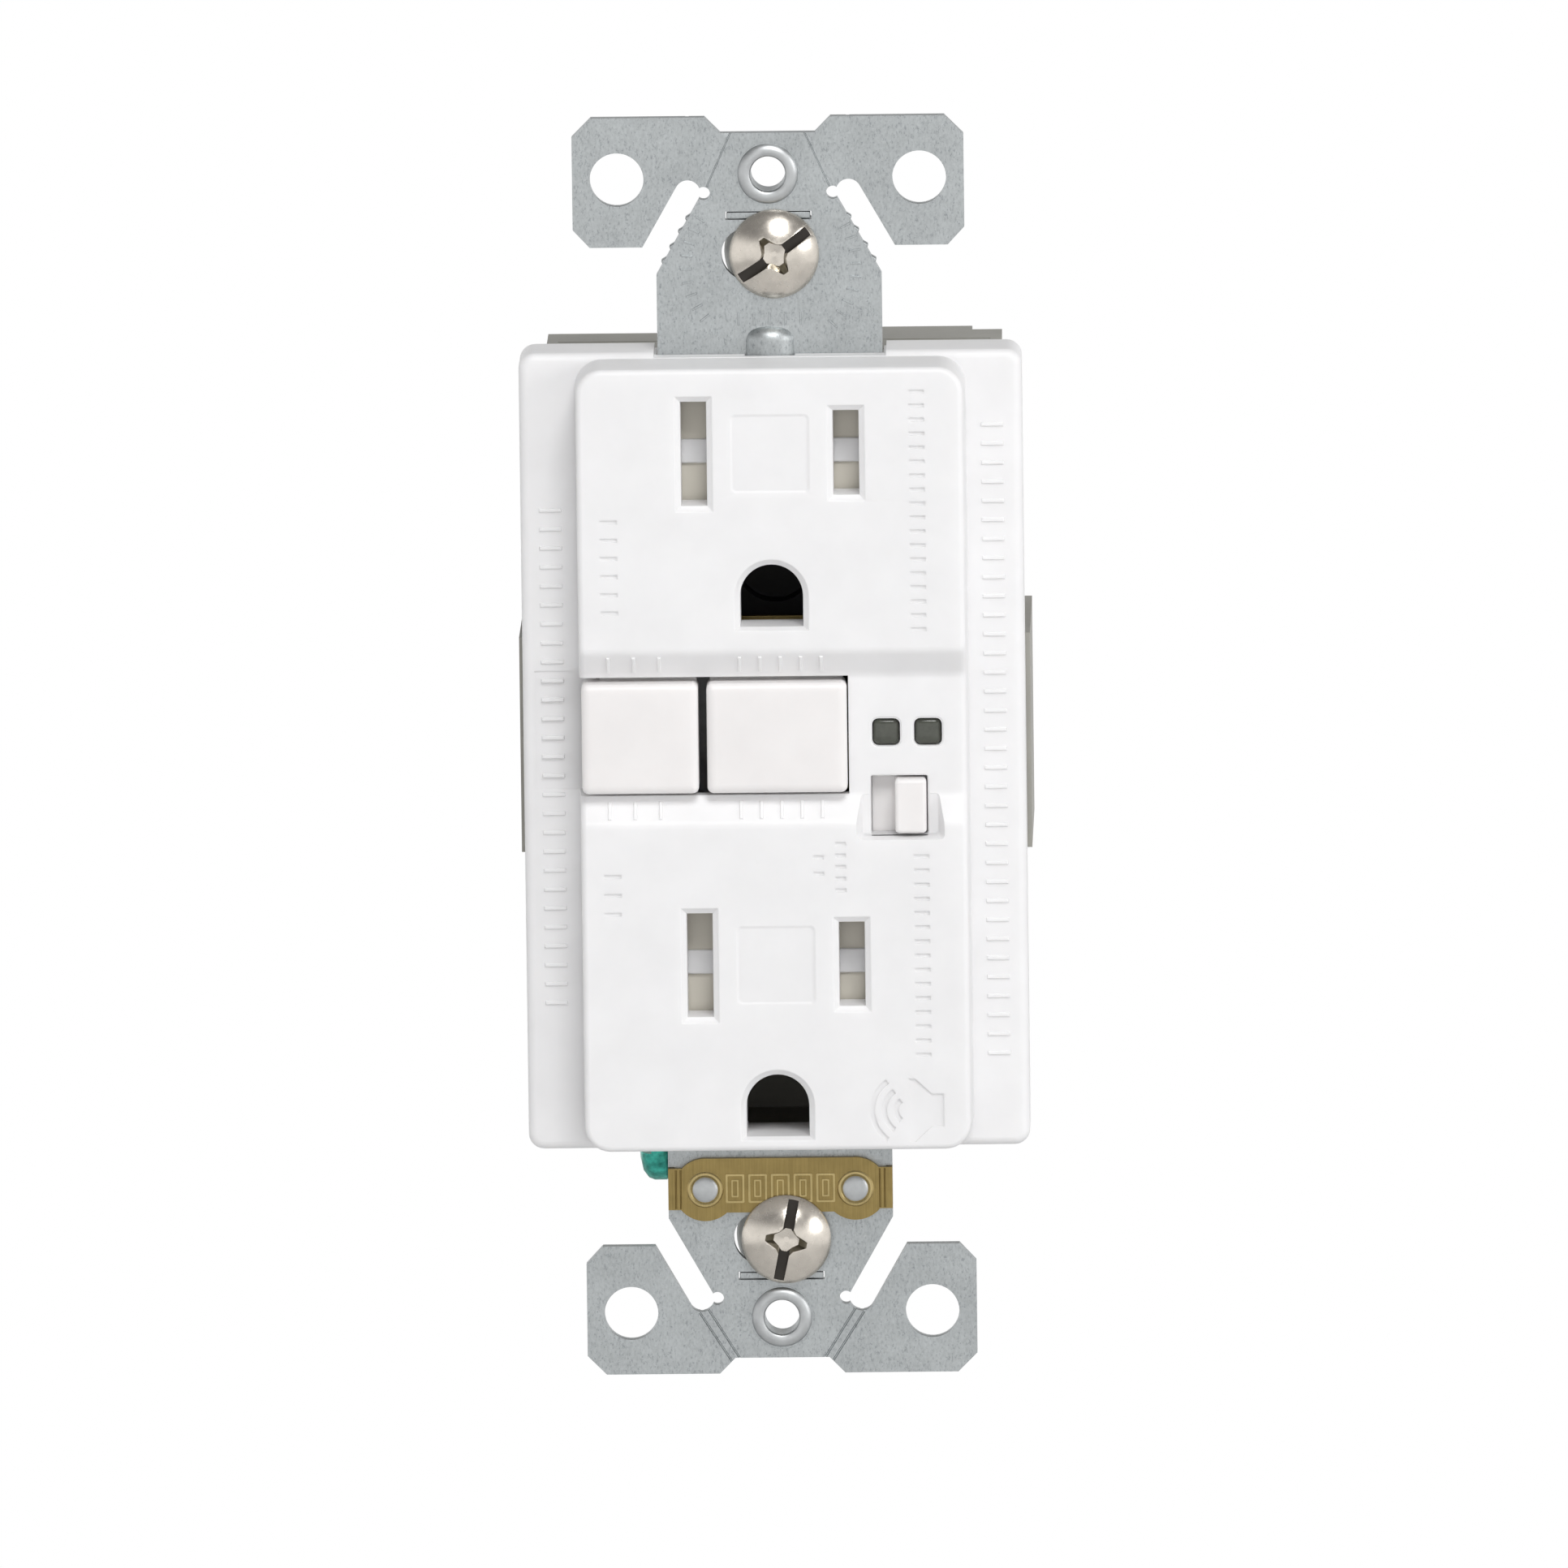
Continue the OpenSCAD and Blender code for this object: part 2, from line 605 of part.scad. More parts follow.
module test_leaf() color(brass) {
    box3([-12.0, -9.2], [14.1, 14.4], [-3.6, 3.4]);
    box3([-12.0, -9.2], [14.4, board_y[0]], [-3.6, -3.2]);
}

module transformer_boot() color([0.25, 0.25, 0.27]) difference() {
    rod_y(0, [board_y[1], 24.2], core_z, 7.2);
    difference() {
        rod_y(0, [17.2, 25], core_z, 6.5);
        rod_y(0, [17, 24.2], core_z, 2.5);
    }
    rod_y(0, [16, 25], core_z, 1.9);
}

module core_ring(y) difference() {
    rod_y(0, y, core_z, 6.2);
    rod_y(0, [y[0] - 1, y[1] + 1], core_z, 2.8);
}

module neutral_core() color("royalblue") core_ring([17.2, 20.2]);
module sensing_core() color("steelblue") core_ring([20.8, 23.8]);

module line_conductors() color(brass) for (x = [-1.0, 1.0]) rod_y(x, [14.0, 24.2], core_z, 0.72);

module varistor() color("royalblue") rod_y(-9.0, [17.0, 19.6], 11.5, 3.9);

module alarm_buzzer() color([0.12, 0.12, 0.12]) difference() {
    rod_y(8.6, [17.0, 22.5], -1.6, 4.7);
    rod_y(8.6, [21.8, 23], -1.6, 0.8);
}

module control_chip() color([0.1, 0.1, 0.1]) box3([-11.6, -7.6], [board_y[1], 18.1], [-8.6, 0.4]);

module filter_capacitors() color("slategray") {
    rod_y(9.6, [board_y[1], 23.0], 10.8, 2.9);
    rod_y(10.2, [board_y[1], 21.0], -9.6, 2.4);
}

front_cover();
rear_housing();
mounting_strap();
test_button();
reset_button();
reset_pin();
reset_spring();
alarm_slider();
slide_switch_body();
indicator_lens_left();
indicator_lens_right();
indicator_leds();
upper_shutter();
lower_shutter();
upper_shutter_spring();
lower_shutter_spring();
inner_frame();
ground_contact_upper();
ground_contact_lower();
ground_contact_rivets();
bonding_clip();
bonding_clip_rivets();
ground_screw();
mounting_screw_upper();
mounting_screw_lower();
screw_retainer_upper();
screw_retainer_lower();
load_hot_plate();
load_neutral_plate();
line_hot_plate();
line_neutral_plate();
load_hot_clamp();
load_neutral_clamp();
line_hot_clamp();
line_neutral_clamp();
load_hot_screw();
load_neutral_screw();
line_hot_screw();
line_neutral_screw();
hot_contact_bar();
neutral_contact_bar();
hot_contact_arm();
neutral_contact_arm();
contact_lifter();
latch_plate();
solenoid_bobbin();
solenoid_coil();
plunger();
plunger_spring();
circuit_board();
test_leaf();
transformer_boot();
neutral_core();
sensing_core();
line_conductors();
varistor();
alarm_buzzer();
control_chip();
filter_capacitors();
housing_screws();
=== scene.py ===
"""Ground-fault receptacle with alarm: the looks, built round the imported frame.

Shapes are made in millimetres, in the frame's own axes (+X right, +Z up, the face looks along -Y),
and turned into metres when each mesh is made.
"""
import json
import math

import bmesh
import bpy
from mathutils import Matrix, Vector


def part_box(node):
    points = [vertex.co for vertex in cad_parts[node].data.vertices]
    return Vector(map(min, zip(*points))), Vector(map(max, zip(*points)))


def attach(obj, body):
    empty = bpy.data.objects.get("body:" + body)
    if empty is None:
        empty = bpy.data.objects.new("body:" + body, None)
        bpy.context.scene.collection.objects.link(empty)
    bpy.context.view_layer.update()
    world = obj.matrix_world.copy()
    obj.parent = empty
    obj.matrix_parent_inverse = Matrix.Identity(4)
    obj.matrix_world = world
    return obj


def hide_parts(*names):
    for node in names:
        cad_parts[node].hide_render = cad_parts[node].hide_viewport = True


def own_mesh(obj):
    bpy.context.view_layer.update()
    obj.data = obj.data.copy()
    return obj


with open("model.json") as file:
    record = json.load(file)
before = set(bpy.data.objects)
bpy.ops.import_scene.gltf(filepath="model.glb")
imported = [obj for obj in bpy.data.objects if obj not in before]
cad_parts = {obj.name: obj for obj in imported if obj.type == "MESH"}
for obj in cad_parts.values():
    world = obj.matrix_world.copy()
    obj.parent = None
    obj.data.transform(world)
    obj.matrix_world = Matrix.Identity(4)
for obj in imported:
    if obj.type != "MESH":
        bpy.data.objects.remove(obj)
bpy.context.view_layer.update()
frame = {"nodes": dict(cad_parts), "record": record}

MM = 0.001
scene = bpy.context.scene


# ---------------------------------------------------------------- mesh tools

def add_mesh(name, verts, faces):
    """A closed mesh from points in millimetres, with its normals outwards."""
    mesh = bpy.data.meshes.new(name)
    mesh.from_pydata([Vector(v) * MM for v in verts], [], faces)
    tidy = bmesh.new()
    tidy.from_mesh(mesh)
    bmesh.ops.recalc_face_normals(tidy, faces=tidy.faces)
    tidy.to_mesh(mesh)
    tidy.free()
    obj = bpy.data.objects.new(name, mesh)
    scene.collection.objects.link(obj)
    return obj


def bake_modifiers(obj):
    """Applies the object's modifiers to its mesh."""
    graph = bpy.context.evaluated_depsgraph_get()
    mesh = bpy.data.meshes.new_from_object(obj.evaluated_get(graph))
    obj.modifiers.clear()
    obj.data = mesh


def boolean(obj, other, operation="DIFFERENCE", solver="EXACT"):
    """Cuts, joins or crosses obj with other, which is used up."""
    modifier = obj.modifiers.new("boolean", "BOOLEAN")
    modifier.operation = operation
    modifier.solver = solver
    modifier.object = other
    bake_modifiers(obj)
    bpy.data.objects.remove(other)
    return obj


def join(objects, name=None):
    """One object from several, with their materials kept."""
    target = objects[0]
    merged = bmesh.new()
    slots = []
    for obj in objects:
        part = bmesh.new()
        part.from_mesh(obj.data)
        part.transform(obj.matrix_world)
        indices = []
        for material in obj.data.materials:
            if material not in slots:
                slots.append(material)
            indices.append(slots.index(material))
        for face in part.faces:
            if indices:
                face.material_index = indices[min(face.material_index, len(indices) - 1)]
        holder = bpy.data.meshes.new("part")
        part.to_mesh(holder)
        part.free()
        merged.from_mesh(holder)
        bpy.data.meshes.remove(holder)
    mesh = bpy.data.meshes.new(name or target.name)
    merged.to_mesh(mesh)
    merged.free()
    for material in slots:
        mesh.materials.append(material)
    for obj in objects[1:]:
        bpy.data.objects.remove(obj)
    target.data = mesh
    target.matrix_world = Matrix.Identity(4)
    if name:
        target.name = name
    return target


def place(obj, matrix):
    """Moves the mesh itself, so that the object stays at the origin."""
    obj.data.transform(matrix)
    obj.data.update()
    return obj


def moved(obj, x=0.0, y=0.0, z=0.0):
    return place(obj, Matrix.Translation(Vector((x, y, z)) * MM))


def turned(obj, degrees, axis):
    return place(obj, Matrix.Rotation(math.radians(degrees), 4, axis))


def smooth(obj, degrees=34.0):
    """Smooth shading that keeps edges sharper than the given angle and flats flat."""
    obj.data.shade_smooth()
    obj.data.set_sharp_from_angle(angle=math.radians(degrees))
    modifier = obj.modifiers.new("normals", "WEIGHTED_NORMAL")
    modifier.keep_sharp = True
    modifier.weight = 80
    return obj


def bevelled(obj, width, segments=2, degrees=30.0):
    """Rounds the edges of obj that are sharper than the given angle."""
    modifier = obj.modifiers.new("bevel", "BEVEL")
    modifier.width = width * MM
    modifier.segments = segments
    modifier.limit_method = "ANGLE"
    modifier.angle_limit = math.radians(degrees)
    modifier.miter_outer = "MITER_ARC"
    modifier.use_clamp_overlap = True
    bake_modifiers(obj)
    return obj


def copy_node(node, name=None):
    """A clean copy of a CAD node's mesh, with its flat faces whole again."""
    mesh = frame["nodes"][node].data.copy()
    mesh.materials.clear()
    tidy = bmesh.new()
    tidy.from_mesh(mesh)
    bmesh.ops.remove_doubles(tidy, verts=tidy.verts, dist=0.0005 * MM)
    bmesh.ops.dissolve_limit(tidy, angle_limit=math.radians(0.6), verts=tidy.verts, edges=tidy.edges)
    tidy.to_mesh(mesh)
    tidy.free()
    if mesh.has_custom_normals:
        mesh.attributes.remove(mesh.attributes["custom_normal"])
    obj = bpy.data.objects.new(name or node + "_piece", mesh)
    scene.collection.objects.link(obj)
    return obj


def rounded_rect(half_w, half_h, radius, steps=6, x=0.0, z=0.0):
    """Outline of a rectangle with round corners, as (x, z) points."""
    points = []
    for quarter, (sx, sz) in enumerate(((1, 1), (-1, 1), (-1, -1), (1, -1))):
        for step in range(steps + 1):
            angle = math.radians(90 * quarter + 90 * step / steps)
            points.append((x + sx * (half_w - radius) + radius * math.cos(angle),
                           z + sz * (half_h - radius) + radius * math.sin(angle)))
    return points


def circle(radius, steps=48, x=0.0, z=0.0):
    return [(x + radius * math.cos(math.tau * i / steps), z + radius * math.sin(math.tau * i / steps))
            for i in range(steps)]


def loft(name, rings):
    """A closed solid through rings of equal length."""
    count = len(rings[0])
    verts = [p for ring in rings for p in ring]
    faces = [(i * count + j, i * count + (j + 1) % count, (i + 1) * count + (j + 1) % count, (i + 1) * count + j)
             for i in range(len(rings) - 1) for j in range(count)]
    faces.append(tuple(range(count)))
    faces.append(tuple(range((len(rings) - 1) * count, len(rings) * count)))
    return add_mesh(name, verts, faces)


def loft_y(name, outlines):
    """A solid through (x, z) outlines, each at its own y."""
    return loft(name, [[(x, y, z) for x, z in outline] for outline, y in outlines])


def edge_profile(width, depth, steps=4):
    """Quarter-round steps from the side (0, depth) to the front (width, 0)."""
    return [(width * (1 - math.cos(math.pi / 2 * i / steps)), depth * (1 - math.sin(math.pi / 2 * i / steps)))
            for i in range(steps + 1)]


def block(name, half_w, half_h, radius, y_front, y_back, front=(0.3, 0.3), back=None, x=0.0, z=0.0, steps=6):
    """A block with round corners, a rounded front edge and, if asked, a rounded back edge."""
    def outline(inset):
        return rounded_rect(half_w - inset, half_h - inset, max(radius - inset, 0.02), steps, x, z)
    rings = []
    if back:
        rings += [(outline(inset), y_back - depth) for inset, depth in reversed(edge_profile(*back))]
    else:
        rings.append((outline(0), y_back))
    rings += [(outline(inset), y_front + depth) for inset, depth in edge_profile(*front)]
    return loft_y(name, rings)


def box(name, x, y, z):
    """A plain box, used as a cutter or under a bevel."""
    verts = [(a, b, c) for a in x for b in y for c in z]
    faces = [(0, 1, 3, 2), (4, 6, 7, 5), (0, 4, 5, 1), (2, 3, 7, 6), (0, 2, 6, 4), (1, 5, 7, 3)]
    return add_mesh(name, verts, faces)


def lathe(name, profile, steps=48):
    """A solid of revolution about the Y axis from (radius, y) points, closed at both ends."""
    rings = [[(r * math.cos(math.tau * i / steps), y, r * math.sin(math.tau * i / steps)) for i in range(steps)]
             for r, y in profile]
    return loft(name, rings)


def ring(name, profile, steps=48):
    """A ring about the Y axis, from the closed (radius, y) outline of its section."""
    count = len(profile)
    verts = [(r * math.cos(math.tau * i / steps), y, r * math.sin(math.tau * i / steps))
             for i in range(steps) for r, y in profile]
    faces = [(i * count + j, i * count + (j + 1) % count, (i + 1) % steps * count + (j + 1) % count,
              (i + 1) % steps * count + j) for i in range(steps) for j in range(count)]
    return add_mesh(name, verts, faces)


def mouth(name, outline, y_face, flare, flare_depth, depth, lip=0.26):
    """Cutter for an opening: a soft lip, a slanted funnel, then straight walls.

    outline(offset) gives its edge.
    """
    steps = [(flare + lip, -1.0), (flare + lip, 0.0), (flare + lip * 0.45, lip * 0.18),
             (flare + lip * 0.1, lip * 0.55), (flare - 0.03, lip * 1.1)]
    steps += [(0.03, flare_depth - 0.06), (0.0, flare_depth + 0.06), (0.0, depth)]
    return loft_y(name, [(outline(offset), y_face + y) for offset, y in steps])


def threaded_rod(name, radius, pitch, y_start, y_end, depth, columns=36, rows_per_turn=8):
    """A rod along Y with a helical thread that fades out at both ends."""
    rows = int(round((y_end - y_start) / pitch * rows_per_turn))
    rings = []
    for i in range(rows + 1):
        y = y_start + (y_end - y_start) * i / rows
        fade = min(1.0, (y - y_start) / pitch, (y_end - y) / pitch)
        ring = []
        for j in range(columns):
            angle = math.tau * j / columns
            phase = (y / pitch - j / columns) % 1.0
            groove = 1.0 - abs(2.0 * phase - 1.0)
            r = radius - depth * (1.0 - min(1.0, groove * 1.35)) - depth * (1.0 - max(fade, 0.0)) * 0.6
            ring.append((r * math.cos(angle), y, r * math.sin(angle)))
        rings.append(ring)
    return loft(name, rings)


# ---------------------------------------------------------------- materials

class Shader:
    """A Principled material built up from a few kinds of texture, all in object coordinates."""

    def __init__(self, name, color, roughness, metallic=0.0, **sockets):
        self.material = bpy.data.materials.new(name)
        self.material.use_nodes = True
        self.tree = self.material.node_tree
        self.bsdf = self.tree.nodes["Principled BSDF"]
        self.set("Base Color", (*color, 1.0))
        self.set("Roughness", roughness)
        self.set("Metallic", metallic)
        for socket, value in sockets.items():
            self.set(socket.replace("_", " "), value)
        self.points = self.tree.nodes.new("ShaderNodeTexCoord").outputs["Object"]
        self.material.diffuse_color = (*color, 1.0)

    def set(self, socket, value):
        self.bsdf.inputs[socket].default_value = value

    def link(self, output, socket):
        self.tree.links.new(output, self.bsdf.inputs[socket])

    def node(self, kind, **values):
        node = self.tree.nodes.new(kind)
        for key, value in values.items():
            setattr(node, key, value)
        return node

    def stretched(self, scale):
        """Object coordinates stretched by a scale for each axis."""
        mapping = self.node("ShaderNodeMapping")
        mapping.inputs["Scale"].default_value = scale
        self.tree.links.new(self.points, mapping.inputs["Vector"])
        return mapping.outputs["Vector"]

    def noise(self, scale, detail=3.0, roughness=0.55, stretch=None):
        node = self.node("ShaderNodeTexNoise")
        node.inputs["Scale"].default_value = scale
        node.inputs["Detail"].default_value = detail
        node.inputs["Roughness"].default_value = roughness
        self.tree.links.new(self.stretched(stretch) if stretch else self.points, node.inputs["Vector"])
        return node.outputs["Fac"]

    def cells(self, scale, stretch=None):
        """A random value for each small cell."""
        node = self.node("ShaderNodeTexVoronoi")
        node.inputs["Scale"].default_value = scale
        self.tree.links.new(self.stretched(stretch) if stretch else self.points, node.inputs["Vector"])
        split = self.node("ShaderNodeSeparateColor")
        self.tree.links.new(node.outputs["Color"], split.inputs["Color"])
        return split.outputs["Red"]

    def ramp(self, value, stops):
        """Colours for a value, from (position, colour) stops."""
        node = self.node("ShaderNodeValToRGB")
        elements = node.color_ramp.elements
        while len(elements) < len(stops):
            elements.new(0.5)
        for element, (position, color) in zip(elements, stops):
            element.position = position
            element.color = (*color, 1.0) if len(color) == 3 else color
        self.tree.links.new(value, node.inputs["Fac"])
        return node.outputs["Color"]

    def mix(self, factor, first, second, blend="MIX"):
        """Blends two colours. A colour may be an output or a constant; the factor too."""
        node = self.node("ShaderNodeMix", data_type="RGBA", blend_type=blend)
        for socket, value in ((node.inputs[0], factor), (node.inputs[6], first), (node.inputs[7], second)):
            if isinstance(value, bpy.types.NodeSocket):
                self.tree.links.new(value, socket)
            elif isinstance(value, tuple):
                socket.default_value = (*value, 1.0)
            else:
                socket.default_value = value
        return node.outputs[2]

    def ranged(self, value, low, high, start=0.0, end=1.0):
        node = self.node("ShaderNodeMapRange")
        node.inputs["From Min"].default_value = start
        node.inputs["From Max"].default_value = end
        node.inputs["To Min"].default_value = low
        node.inputs["To Max"].default_value = high
        self.tree.links.new(value, node.inputs["Value"])
        return node.outputs["Result"]

    def bump(self, height, strength, distance_mm):
        """Adds a bump on top of any that the material already has."""
        node = self.node("ShaderNodeBump")
        node.inputs["Strength"].default_value = strength
        node.inputs["Distance"].default_value = distance_mm * MM
        self.tree.links.new(height, node.inputs["Height"])
        normal = self.bsdf.inputs["Normal"]
        if normal.is_linked:
            self.tree.links.new(normal.links[0].from_socket, node.inputs["Normal"])
        self.tree.links.new(node.outputs["Normal"], normal)


def shade(color, factor):
    return tuple(min(1.0, c * factor) for c in color)


def moulded_plastic(name, color, roughness=0.4, grain=0.05, variation=0.03, **sockets):
    """Moulded plastic: faint flow mottling, a fine spark-eroded grain and a slightly uneven gloss."""
    shader = Shader(name, color, roughness, **sockets)
    flow = shader.noise(220.0, detail=4.0)
    shader.link(shader.ramp(flow, [(0.3, shade(color, 1.0 - variation)), (0.7, shade(color, 1.0 + variation * 0.4))]),
                "Base Color")
    shader.link(shader.ranged(shader.noise(2600.0), roughness - 0.05, roughness + 0.06), "Roughness")
    shader.bump(shader.noise(9000.0, detail=2.0), grain, 0.02)
    return shader.material


def zinc_plate(name, color=(0.50, 0.525, 0.53)):
    """Galvanised strip: soft cloudy tone, short dark flecks from rolling, and pale rubs."""
    shader = Shader(name, color, 0.42, metallic=1.0)
    clouds = shader.ramp(shader.noise(260.0, detail=5.0), [(0.3, shade(color, 0.88)), (0.7, shade(color, 1.1))])
    grain = shader.ramp(shader.noise(5200.0, detail=4.0, stretch=(1.0, 1.0, 0.6)),
                        [(0.3, shade(color, 0.78)), (0.52, color), (0.75, shade(color, 1.2))])
    base = shader.mix(0.45, clouds, grain)
    flecks = shader.ramp(shader.noise(6800.0, detail=5.0, roughness=0.74, stretch=(1.0, 1.0, 0.5)),
                         [(0.0, (0.7, 0.7, 0.7)), (0.39, (0.5, 0.5, 0.5)), (0.45, (0.0, 0.0, 0.0)),
                          (1.0, (0.0, 0.0, 0.0))])
    base = shader.mix(flecks, base, (0.2, 0.215, 0.235))
    rubs = shader.ramp(shader.noise(1500.0, detail=6.0, roughness=0.75, stretch=(0.5, 1.0, 1.4)),
                       [(0.60, (0.0, 0.0, 0.0)), (0.72, (0.35, 0.35, 0.35))])
    shader.link(shader.mix(rubs, base, (0.68, 0.69, 0.69)), "Base Color")
    shader.link(shader.ranged(shader.noise(1800.0, detail=4.0), 0.36, 0.56), "Roughness")
    shader.bump(shader.noise(4200.0, detail=4.0), 0.12, 0.03)
    return shader.material


def plated_steel(name, color, roughness, scratches=0.06):
    """Barrel-plated steel: bright, with fine tumbling scratches and uneven gloss."""
    shader = Shader(name, color, roughness, metallic=1.0)
    tone = shader.ramp(shader.noise(900.0, detail=4.0), [(0.3, shade(color, 0.9)), (0.7, shade(color, 1.06))])
    shader.link(tone, "Base Color")
    shader.link(shader.ranged(shader.noise(2400.0, detail=5.0), roughness - 0.07, roughness + 0.1), "Roughness")
    shader.bump(shader.noise(5200.0, detail=3.0, stretch=(1.0, 1.0, 0.35)), scratches, 0.02)
    return shader.material


def brushed_brass(name, color=(0.33, 0.245, 0.095), roughness=0.36):
    """Rolled brass strip: fine grain across the strip, dulled in patches."""
    shader = Shader(name, color, roughness, metallic=1.0)
    grain = shader.noise(1.0, detail=5.0, roughness=0.7, stretch=(9000.0, 9000.0, 260.0))
    patches = shader.ramp(shader.noise(700.0, detail=4.0), [(0.35, shade(color, 0.78)), (0.65, shade(color, 1.08))])
    lines = shader.ramp(grain, [(0.3, shade(color, 0.72)), (0.5, color), (0.72, shade(color, 1.35))])
    shader.link(shader.mix(0.55, patches, lines), "Base Color")
    shader.link(shader.ranged(grain, roughness - 0.06, roughness + 0.12), "Roughness")
    shader.bump(grain, 0.1, 0.02)
    return shader.material


def dyed_plating(name, color=(0.06, 0.42, 0.34)):
    """Green dyed plating on the ground screw."""
    shader = Shader(name, color, 0.3, metallic=0.85)
    tone = shader.ramp(shader.noise(1600.0, detail=4.0), [(0.3, shade(color, 0.6)), (0.7, shade(color, 1.5))])
    shader.link(tone, "Base Color")
    shader.bump(shader.noise(4000.0, detail=3.0), 0.1, 0.03)
    return shader.material


def tinted_lens(name, color=(0.062, 0.066, 0.052)):
    """Smoked light pipe: glossy, with a faint random mottle in its tone and gloss."""
    shader = Shader(name, color, 0.16, Coat_Weight=0.4, Coat_Roughness=0.08, IOR=1.49)
    shader.link(shader.ramp(shader.noise(1500.0, detail=3.0), [(0.3, shade(color, 0.85)), (0.7, shade(color, 1.15))]),
                "Base Color")
    shader.link(shader.ranged(shader.noise(6000.0), 0.1, 0.24), "Roughness")
    return shader.material


def solder_mask(name, color=(0.01, 0.13, 0.04)):
    """Green circuit board with paler copper runs under the mask."""
    shader = Shader(name, color, 0.32, Coat_Weight=0.3)
    runs = shader.ramp(shader.cells(520.0, stretch=(1.0, 1.0, 0.4)),
                       [(0.45, color), (0.5, shade(color, 1.9)), (0.95, shade(color, 1.7))])
    shader.link(runs, "Base Color")
    shader.bump(shader.noise(2500.0), 0.05, 0.02)
    return shader.material


def wound_wire(name, color=(0.42, 0.13, 0.035)):
    """Enamelled wire wound in fine turns round the coil."""
    shader = Shader(name, color, 0.25, metallic=0.6)
    turns = shader.node("ShaderNodeTexWave", wave_type="BANDS", bands_direction="Z")
    turns.inputs["Scale"].default_value = 900.0
    turns.inputs["Distortion"].default_value = 0.4
    shader.tree.links.new(shader.points, turns.inputs["Vector"])
    shader.link(shader.ramp(turns.outputs["Fac"], [(0.0, shade(color, 0.45)), (0.6, color)]), "Base Color")
    shader.bump(turns.outputs["Fac"], 0.5, 0.08)
    return shader.material


MATERIALS = {
    "white_plastic": moulded_plastic("white_plastic", (0.86, 0.855, 0.86), 0.42, Subsurface_Weight=0.45,
                                     Subsurface_Radius=(1.0, 0.97, 0.94), Subsurface_Scale=1.1 * MM),
    "button_plastic": moulded_plastic("button_plastic", (0.86, 0.838, 0.832), 0.36, grain=0.03, Subsurface_Weight=0.35,
                                      Subsurface_Radius=(1.0, 0.95, 0.92), Subsurface_Scale=0.9 * MM),
    "shutter_plastic": moulded_plastic("shutter_plastic", (0.70, 0.665, 0.58), 0.55),
    "grey_plastic": moulded_plastic("grey_plastic", (0.36, 0.352, 0.318), 0.5, grain=0.12, variation=0.08),
    "dark_plastic": moulded_plastic("dark_plastic", (0.03, 0.03, 0.032), 0.45),
    "tan_plastic": moulded_plastic("tan_plastic", (0.5, 0.38, 0.22), 0.5),
    "lens_plastic": tinted_lens("lens_plastic"),
    "led_epoxy": moulded_plastic("led_epoxy", (0.25, 0.5, 0.25), 0.15),
    "zinc_steel": zinc_plate("zinc_steel"),
    "nickel_steel": plated_steel("nickel_steel", (0.72, 0.67, 0.60), 0.24),
    "bright_steel": plated_steel("bright_steel", (0.56, 0.575, 0.58), 0.42),
    "spring_steel": plated_steel("spring_steel", (0.5, 0.5, 0.5), 0.25),
    "brass": brushed_brass("brass"),
    "green_screw": dyed_plating("green_screw"),
    "washer_plastic": moulded_plastic("washer_plastic", (0.82, 0.82, 0.8), 0.5),
    "board_laminate": solder_mask("board_laminate"),
    "copper_wire": wound_wire("copper_wire"),
    "core_coating": moulded_plastic("core_coating", (0.02, 0.07, 0.28), 0.3),
    "capacitor_can": moulded_plastic("capacitor_can", (0.05, 0.07, 0.1), 0.3),
}
NODE_SLOT = {part["node"]: part["material_slot"] for part in frame["record"]["subparts"]}
NODE_BODY = {node: body for body, nodes in frame["record"]["behaviour"]["bodies"].items() for node in nodes}


def stands_for(obj, node, *others, material=None, soften=34.0):
    """The piece takes a CAD node's place: it rides the node's body, hides the node and, unless it has one, gets the
    material of the node's slot.
    """
    slot = NODE_SLOT[node]
    if material or not obj.data.materials:
        obj.data.materials.clear()
        obj.data.materials.append(material or MATERIALS[slot])
    if soften:
        smooth(obj, soften)
    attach(obj, NODE_BODY[node])
    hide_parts(node, *others)
    return obj


def united(first, *others):
    for other in others:
        boolean(first, other, "UNION")
    return first


def prism(name, outline, y_front, y_back):
    return loft_y(name, [(outline, y_front), (outline, y_back)])


def bar(name, x, z, half_x, half_z, y_front, y_back, draft=0.06):
    """A small raised bar with sloping sides."""
    return loft_y(name, [(rounded_rect(half_x - draft, half_z - draft, 0.02, 1, x, z), y_front),
                         (rounded_rect(half_x, half_z, 0.02, 1, x, z), y_front + 0.1),
                         (rounded_rect(half_x, half_z, 0.02, 1, x, z), y_back)])


# ---------------------------------------------------------------- cover

FACE_Y = -8.6
SHOULDER_Y = -3.0
VALLEY = (-3.16, 6.96)
VALLEY_RUN = 2.24
VALLEY_DEPTH = 1.55
FACE_HALF = (16.3, 33.2)
FACE_CORNER = 2.3
BLADE_X = 6.35
SLOT_HALF = 1.075
NEUTRAL_HALF = 4.375
HOT_HALF = 3.55
OUTLETS = (25.9, -17.3)
GROUNDS = (13.87, -29.25)
GROUND_R = 2.615
LENS_X = (9.4, 12.9)
LENS_Z = 2.07
CORNER = (14.9, 28.6)


def sharp_front(z):
    low, high = VALLEY
    climb = max(low - z, z - high, 0.0) / VALLEY_RUN
    return FACE_Y + VALLEY_DEPTH * (1.0 - min(1.0, climb))


def face_front(z, spread=0.32):
    """Front of the face at a height, with the valley's corners softened."""
    return sum(sharp_front(z + spread * k / 4) for k in range(-4, 5)) / 9


